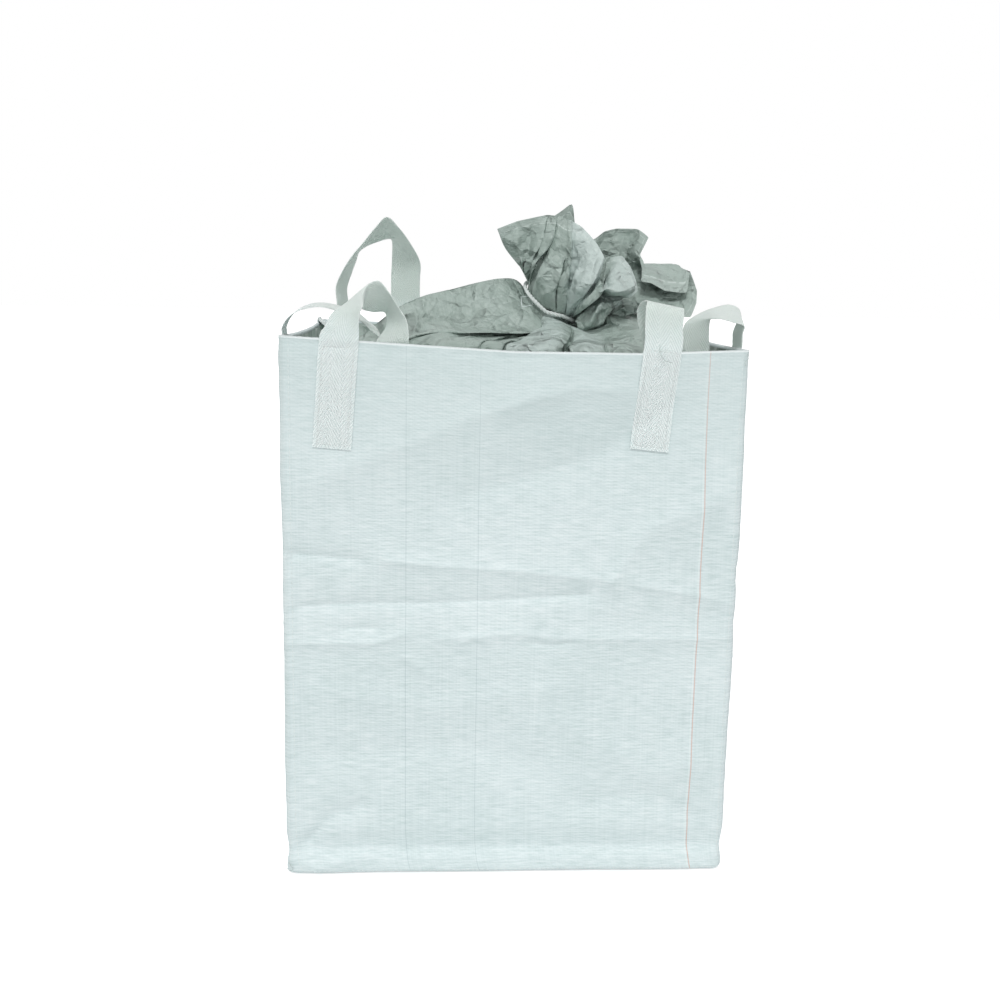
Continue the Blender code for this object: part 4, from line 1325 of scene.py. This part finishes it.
tube = RibbedTube(ruffle_ribs, RUFFLE_PLACES, RUFFLE_ROUND, RUFFLE_LENGTH, RUFFLE_RISE_STEPS)
cloth = flat_cloth(RUFFLE_ROUND, RUFFLE_LENGTH, RUFFLE_STEPS, RUFFLE_RISE_STEPS)
metres = cloth.loops.layers.uv["metres"]
for face in cloth.faces:
    for corner in face.loops:
        corner[metres].uv.y += SKIRT_LENGTH
mark_painted_sheen(cloth, tube, RUFFLE_SHEEN, lambda along: 1.0)
lay_out(cloth, tube.place, ruffle_rough)
bmesh.ops.remove_doubles(cloth, verts=cloth.verts, dist=WELD)
ruffle_piece = add_piece("skirt_ruffle_cloth", cloth, skirt_cloth)
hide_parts("skirt_ruffle", "skirt_neck")
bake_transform(ruffle_piece)
print("ruffle area", round(sum(face.area for face in ruffle_piece.data.polygons), 3), "m2")

# %% [markdown]
# ## The tie
# A soft white cord, twisted from three strands, goes once round the neck and is knotted at the back.
# Strands could be drawn on one smooth ring, but at this size their twist shows in the outline, so each is
# a tube of its own.

# %% Cord material
# Lint leaves the white of the cord soft and a little uneven.
tie_yarn, tree, shader = start_material("soft polypropylene cord", 0.7)
in_space = add_node(tree, "TexCoord").outputs["Object"]
lint = add_node(tree, "TexNoise", {"Scale": 220.0, "Detail": 3.0}, {"Vector": in_space}).outputs["Fac"]
tree.links.new(spread(tree, lint, ["#CFD6D4", "#E4E9E7"]), shader.inputs["Base Color"])
raised = add_node(tree, "Bump", {"Strength": 0.4, "Distance": 0.0006}, {"Height": lint})
tree.links.new(raised.outputs[0], shader.inputs["Normal"])
print("cord", 1000 * TIE_DIAMETER, "mm thick")

# %% Strands of the tie
TIE_RADIUS = NECK_RADIUS + 0.0055
TIE_WANDER = 0.004
STRANDS = 3
STRAND_OFFSET = TIE_DIAMETER * 0.24
STRAND_RADIUS = TIE_DIAMETER * 0.27
TIE_TWISTS = 16
TIE_STEPS = 260
CORD_SIDES = 8
TUBE_WELD = 0.00001
A_LITTLE = 0.002


def tie_line(share):
    """The cord's middle line, a little uneven, as a share of the way round."""
    lift = TIE_WANDER * noise.noise((cos(2 * pi * share) * 1.5, sin(2 * pi * share) * 1.5, 6.0))
    return neck_point(share, TIE_RADIUS + lift * 0.5, lift)


def strand_point(strand, around, share):
    turn = 2 * pi * (strand / STRANDS + TIE_TWISTS * share)
    ahead = (tie_line(share + A_LITTLE) - tie_line(share - A_LITTLE)).normalized()
    out = (tie_line(share) - NECK_CENTRE).normalized()
    up = ahead.cross(out)
    middle = tie_line(share) + (out * cos(turn) + up * sin(turn)) * STRAND_OFFSET
    angle = 2 * pi * around
    return middle + (out * cos(angle) + up * sin(angle)) * STRAND_RADIUS


def add_tube(shape, steps, sides, place):
    """Adds a tube to a shape. Its points come from a share of the way round it and a step along it."""
    skin = flat_cloth(1.0, steps, sides, steps)
    lay_out(skin, place)
    bmesh.ops.remove_doubles(skin, verts=skin.verts, dist=TUBE_WELD)
    bmesh.ops.recalc_face_normals(skin, faces=skin.faces)
    kept = bpy.data.meshes.new("tube")
    skin.to_mesh(kept)
    skin.free()
    shape.from_mesh(kept)
    bpy.data.meshes.remove(kept)


tie = bmesh.new()
for strand in range(STRANDS):
    add_tube(tie, TIE_STEPS, CORD_SIDES, lambda around, step: strand_point(strand, around, step / TIE_STEPS))
tie_piece = add_piece("neck_tie", tie, tie_yarn)
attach(tie_piece, "bag")
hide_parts("tie_cord", "tie_knot")

# %% [markdown]
# The ends of the cord meet behind the neck in an overhand knot, and two short tails lie down the back of
# the skirt. The knot is a tube along the formula of a trefoil, the simplest closed overhand knot, drawn
# small and tight.

# %% Knot
KNOT_SIZE = 0.0034
KNOT_STEPS = 120
KNOT_SHARE = 0.45
KNOT_OFF = 0.006
KNOT_FRAME = Vector((0.3, 0.2, 0.9))
TAIL_THICKNESS = TIE_DIAMETER * 0.75


def tube_along(line, thickness, out):
    """A function that puts the skin of a tube round a line of points."""
    def place(around, along):
        number = round(along)
        ahead = (line[min(number + 1, len(line) - 1)] - line[max(number - 1, 0)]).normalized()
        side = ahead.cross(out).normalized()
        up = side.cross(ahead)
        angle = 2 * pi * around
        return line[number] + (side * cos(angle) + up * sin(angle)) * thickness / 2
    return place


knot_middle = neck_point(KNOT_SHARE, TIE_RADIUS + KNOT_OFF, 0.0)
knot_out = (knot_middle - NECK_CENTRE).normalized()
knot_side = NECK_AXIS.cross(knot_out)
knot_line = []
for step in range(KNOT_STEPS + 1):
    turn = 2 * pi * step / KNOT_STEPS
    along_side = KNOT_SIZE * (sin(turn) + 2 * sin(2 * turn))
    along_axis = KNOT_SIZE * (cos(turn) - 2 * cos(2 * turn))
    outward = KNOT_SIZE * -sin(3 * turn)
    knot_line.append(knot_middle + knot_side * along_side + NECK_AXIS * along_axis + knot_out * outward)
knot = bmesh.new()
add_tube(knot, KNOT_STEPS, CORD_SIDES, tube_along(knot_line, TAIL_THICKNESS, KNOT_FRAME))
knot_piece = add_piece("tie_knot_cord", knot, tie_yarn)
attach(knot_piece, "bag")

# %% Tails
TAIL_LENGTH = 0.085
TAIL_APART = 0.006
TAIL_STEPS = 40

for side, name in ((-1, "tie_tail_left"), (1, "tie_tail_right")):
    # A tail falls in three stretches, each a direction and a share of its length.
    ways = [
        (knot_out * 0.6 + knot_side * side * 0.5, 0.30),
        (Vector((0.25 * side, 0.75, -0.45)), 0.35),
        (Vector((0.10 * side, 0.80, -0.30)), 0.35),
    ]
    fall = [knot_middle + knot_side * side * TAIL_APART]
    for way, share in ways:
        fall.append(fall[-1] + way.normalized() * TAIL_LENGTH * share)
    line = [through(fall, len(ways) * step / TAIL_STEPS) for step in range(TAIL_STEPS + 1)]
    length = sum((second - first).length for first, second in zip(line, line[1:]))
    tail = bmesh.new()
    add_tube(tail, TAIL_STEPS, CORD_SIDES, tube_along(line, TAIL_THICKNESS, Vector((0, 0, 1))))
    bmesh.ops.holes_fill(tail, edges=tail.edges)
    tail_piece = add_piece(name, tail, tie_yarn)
    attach(tail_piece, "bag")
    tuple(line[0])
    print(name, round(length, 3), "m")

# %% [markdown]
# ## Sewing
# Rows of white thread hold the bag together: down each corner, round the hem and the foot, and round the
# legs of the loops. Each row is one tube that rises over the cloth for every stitch and dips into it
# between two, so it is laid by the same functions that laid the cloth.

# %% Rows of stitches
STITCH = 0.010
STITCH_STEPS = 5
THREAD = 0.0017
THREAD_SIDES = 6
# A stitch's thickness at its ends, how deep it sinks there and how far it rises, as shares of its thread.
STITCH_END = 0.3
STITCH_SINK, STITCH_RISE = -0.5, 0.55
# How far to either side the slope of the cloth is felt.
FEEL = 0.001

# A fine grain keeps the white of the thread from looking like wire.
sewing, tree, shader = start_material("white sewing thread", 0.6)
in_space = add_node(tree, "TexCoord").outputs["Object"]
lint = add_node(tree, "TexNoise", {"Scale": 900.0}, {"Vector": in_space}).outputs["Fac"]
tree.links.new(spread(tree, lint, ["#CBD6D5", "#E6EDEC"]), shader.inputs["Base Color"])
stitches = bmesh.new()


def sew(surface, start, end, proud, outward=None):
    """One row of stitches between two flat places of a cloth, standing proud of its middle layer."""
    start, end = Vector(start), Vector(end)
    steps = STITCH_STEPS * max(2, round((end - start).length / STITCH))
    line, outs = [], []
    for step in range(steps + 1):
        across, along = start.lerp(end, step / steps)
        run = surface(across + FEEL, along) - surface(across - FEEL, along)
        rise = surface(across, along + FEEL) - surface(across, along - FEEL)
        out = run.cross(rise).normalized()
        outs.append(-out if outward and out.dot(outward) < 0 else out)
        line.append(surface(across, along) + outs[-1] * proud)

    def place(around, along):
        number = round(along)
        arch = abs(sin(pi * number / STITCH_STEPS))
        ahead = (line[min(number + 1, steps)] - line[max(number - 1, 0)]).normalized()
        side = ahead.cross(outs[number])
        angle = 2 * pi * around
        radius = THREAD / 2 * (STITCH_END + (1 - STITCH_END) * arch)
        skin = (side * cos(angle) + outs[number] * sin(angle)) * radius
        return line[number] + outs[number] * THREAD * (STITCH_SINK + STITCH_RISE * arch) + skin

    add_tube(stitches, steps, THREAD_SIDES, place)


print("thread", 1000 * THREAD, "mm thick")

# %% [markdown]
# Each wall is sewn along its hem and its foot. Corner seams run down the front and back walls, beside the
# fold.

# %% Sewing the sack
FOOT_SEAM = 0.010
CORNER_SEAM = 0.011
RIM_ROW_GAP = 0.008
FOOT_ROW_GAP = 0.012

rim_row = FOOT_TURN + RIM - HEM_DEPTH
foot_row = FOOT_TURN + FOOT_SEAM
for wall in range(4):
    left, right = PERIMETER * wall / 4, PERIMETER * (wall + 1) / 4
    sew(sack_wall, (left + RIM_ROW_GAP, rim_row), (right - RIM_ROW_GAP, rim_row), 0.0)
    sew(sack_wall, (left + FOOT_ROW_GAP, foot_row), (right - FOOT_ROW_GAP, foot_row), 0.0)
    if wall % 2:
        sew(sack_wall, (left + CORNER_SEAM, foot_row), (left + CORNER_SEAM, rim_row), 0.0)
        sew(sack_wall, (right - CORNER_SEAM, foot_row), (right - CORNER_SEAM, rim_row), 0.0)
print("sack sewn", len(stitches.faces), "faces")

# %% [markdown]
# A loop carries a quarter of the load on its two legs, so each leg is sewn all round its edge. Rows on a
# strap could end up on its inner face, so each is told which way is outward.

# %% Sewing the legs of the loops
LEG_MARGIN = 0.008
LEG_TOP_GAP = 0.012

near, far = LEG_MARGIN, WEBBING_WIDTH - LEG_MARGIN
for strap in straps:
    first_out, last_out = Vector((0, strap.corner[1], 0)), Vector((strap.corner[0], 0, 0))
    for outward, foot, head in [
        (first_out, LEG_MARGIN, LEG_LENGTH - LEG_TOP_GAP),
        (last_out, strap.length - LEG_MARGIN, strap.length - LEG_LENGTH + LEG_TOP_GAP),
    ]:
        for across in (near, far):
            sew(strap.place, (across, foot), (across, head), WEBBING_THICKNESS / 2, outward)
        for along in (foot, head):
            sew(strap.place, (near, along), (far, along), WEBBING_THICKNESS / 2, outward)
print("legs sewn", len(stitches.faces), "faces")

# %% [markdown]
# A patch of stitches on the skirt holds the tie, and threads were left long at two corners and on one
# leg. They lie where the picture shows them: the patch is thrown on the skirt along lines of sight, and
# the others on the front.

# %% Patch that holds the tie
TIE_PATCH = [(521, 297), (532, 296), (533, 305), (522, 307), (521, 297)]
PATCH_STEPS = 12
PATCH_OUT = Vector((0, -1, 0.2))

skirt_faces = BVHTree.FromPolygons([spot.co for spot in skirt.data.vertices],
                                   [face.vertices for face in skirt.data.polygons])
patch_line = []
for step in range(PATCH_STEPS * (len(TIE_PATCH) - 1) + 1):
    side = min(step // PATCH_STEPS, len(TIE_PATCH) - 2)
    pixel = Vector(TIE_PATCH[side]).lerp(Vector(TIE_PATCH[side + 1]), step / PATCH_STEPS - side)
    ray = seen(*pixel, 0.0) - CAMERA_PLACE
    hit = skirt_faces.ray_cast(CAMERA_PLACE, ray)[0]
    patch_line.append(hit - ray.normalized() * THREAD / 2)
add_tube(stitches, len(patch_line) - 1, THREAD_SIDES, tube_along(patch_line, THREAD, PATCH_OUT))
print("patch sewn", len(stitches.faces), "faces")

# %% Threads left long
LEG_END = [(660, 345), (660, 351), (662, 357), (666, 361), (672, 363)]
CORNER_END = [(747, 354), (749, 356), (748, 360), (745, 362), (746, 366)]
FOOT_END = [(289, 862), (291, 866), (293, 869), (290, 871), (287, 868)]
FRONT_FACE = -0.4575
LOOSE_THREAD = THREAD * 0.7
LOOSE_STEPS = 8

# Soiled thread is greyer, so it shows on the pale cloth.
grey_thread, tree, shader = start_material("soiled loose thread", 0.7)
shader.inputs["Base Color"].default_value = linear("#B9C5C2")
loose = bmesh.new()
for pixels in (LEG_END, CORNER_END, FOOT_END):
    points = [seen(*pixel, FRONT_FACE) for pixel in pixels]
    steps = LOOSE_STEPS * (len(points) - 1)
    line = [through(points, step / LOOSE_STEPS) for step in range(steps + 1)]
    add_tube(loose, steps, THREAD_SIDES, tube_along(line, LOOSE_THREAD, Vector((0, -1, 0))))
threads = add_piece("loose_threads", loose, grey_thread)
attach(threads, "bag")

# %% All stitches as one piece
SEAMS = ("front_left", "front_right", "back_left", "back_right", "bottom", "rim")

sewn = add_piece("stitches", stitches, sewing)
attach(sewn, "bag")
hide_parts(*[seam + "_seam_thread" for seam in SEAMS])
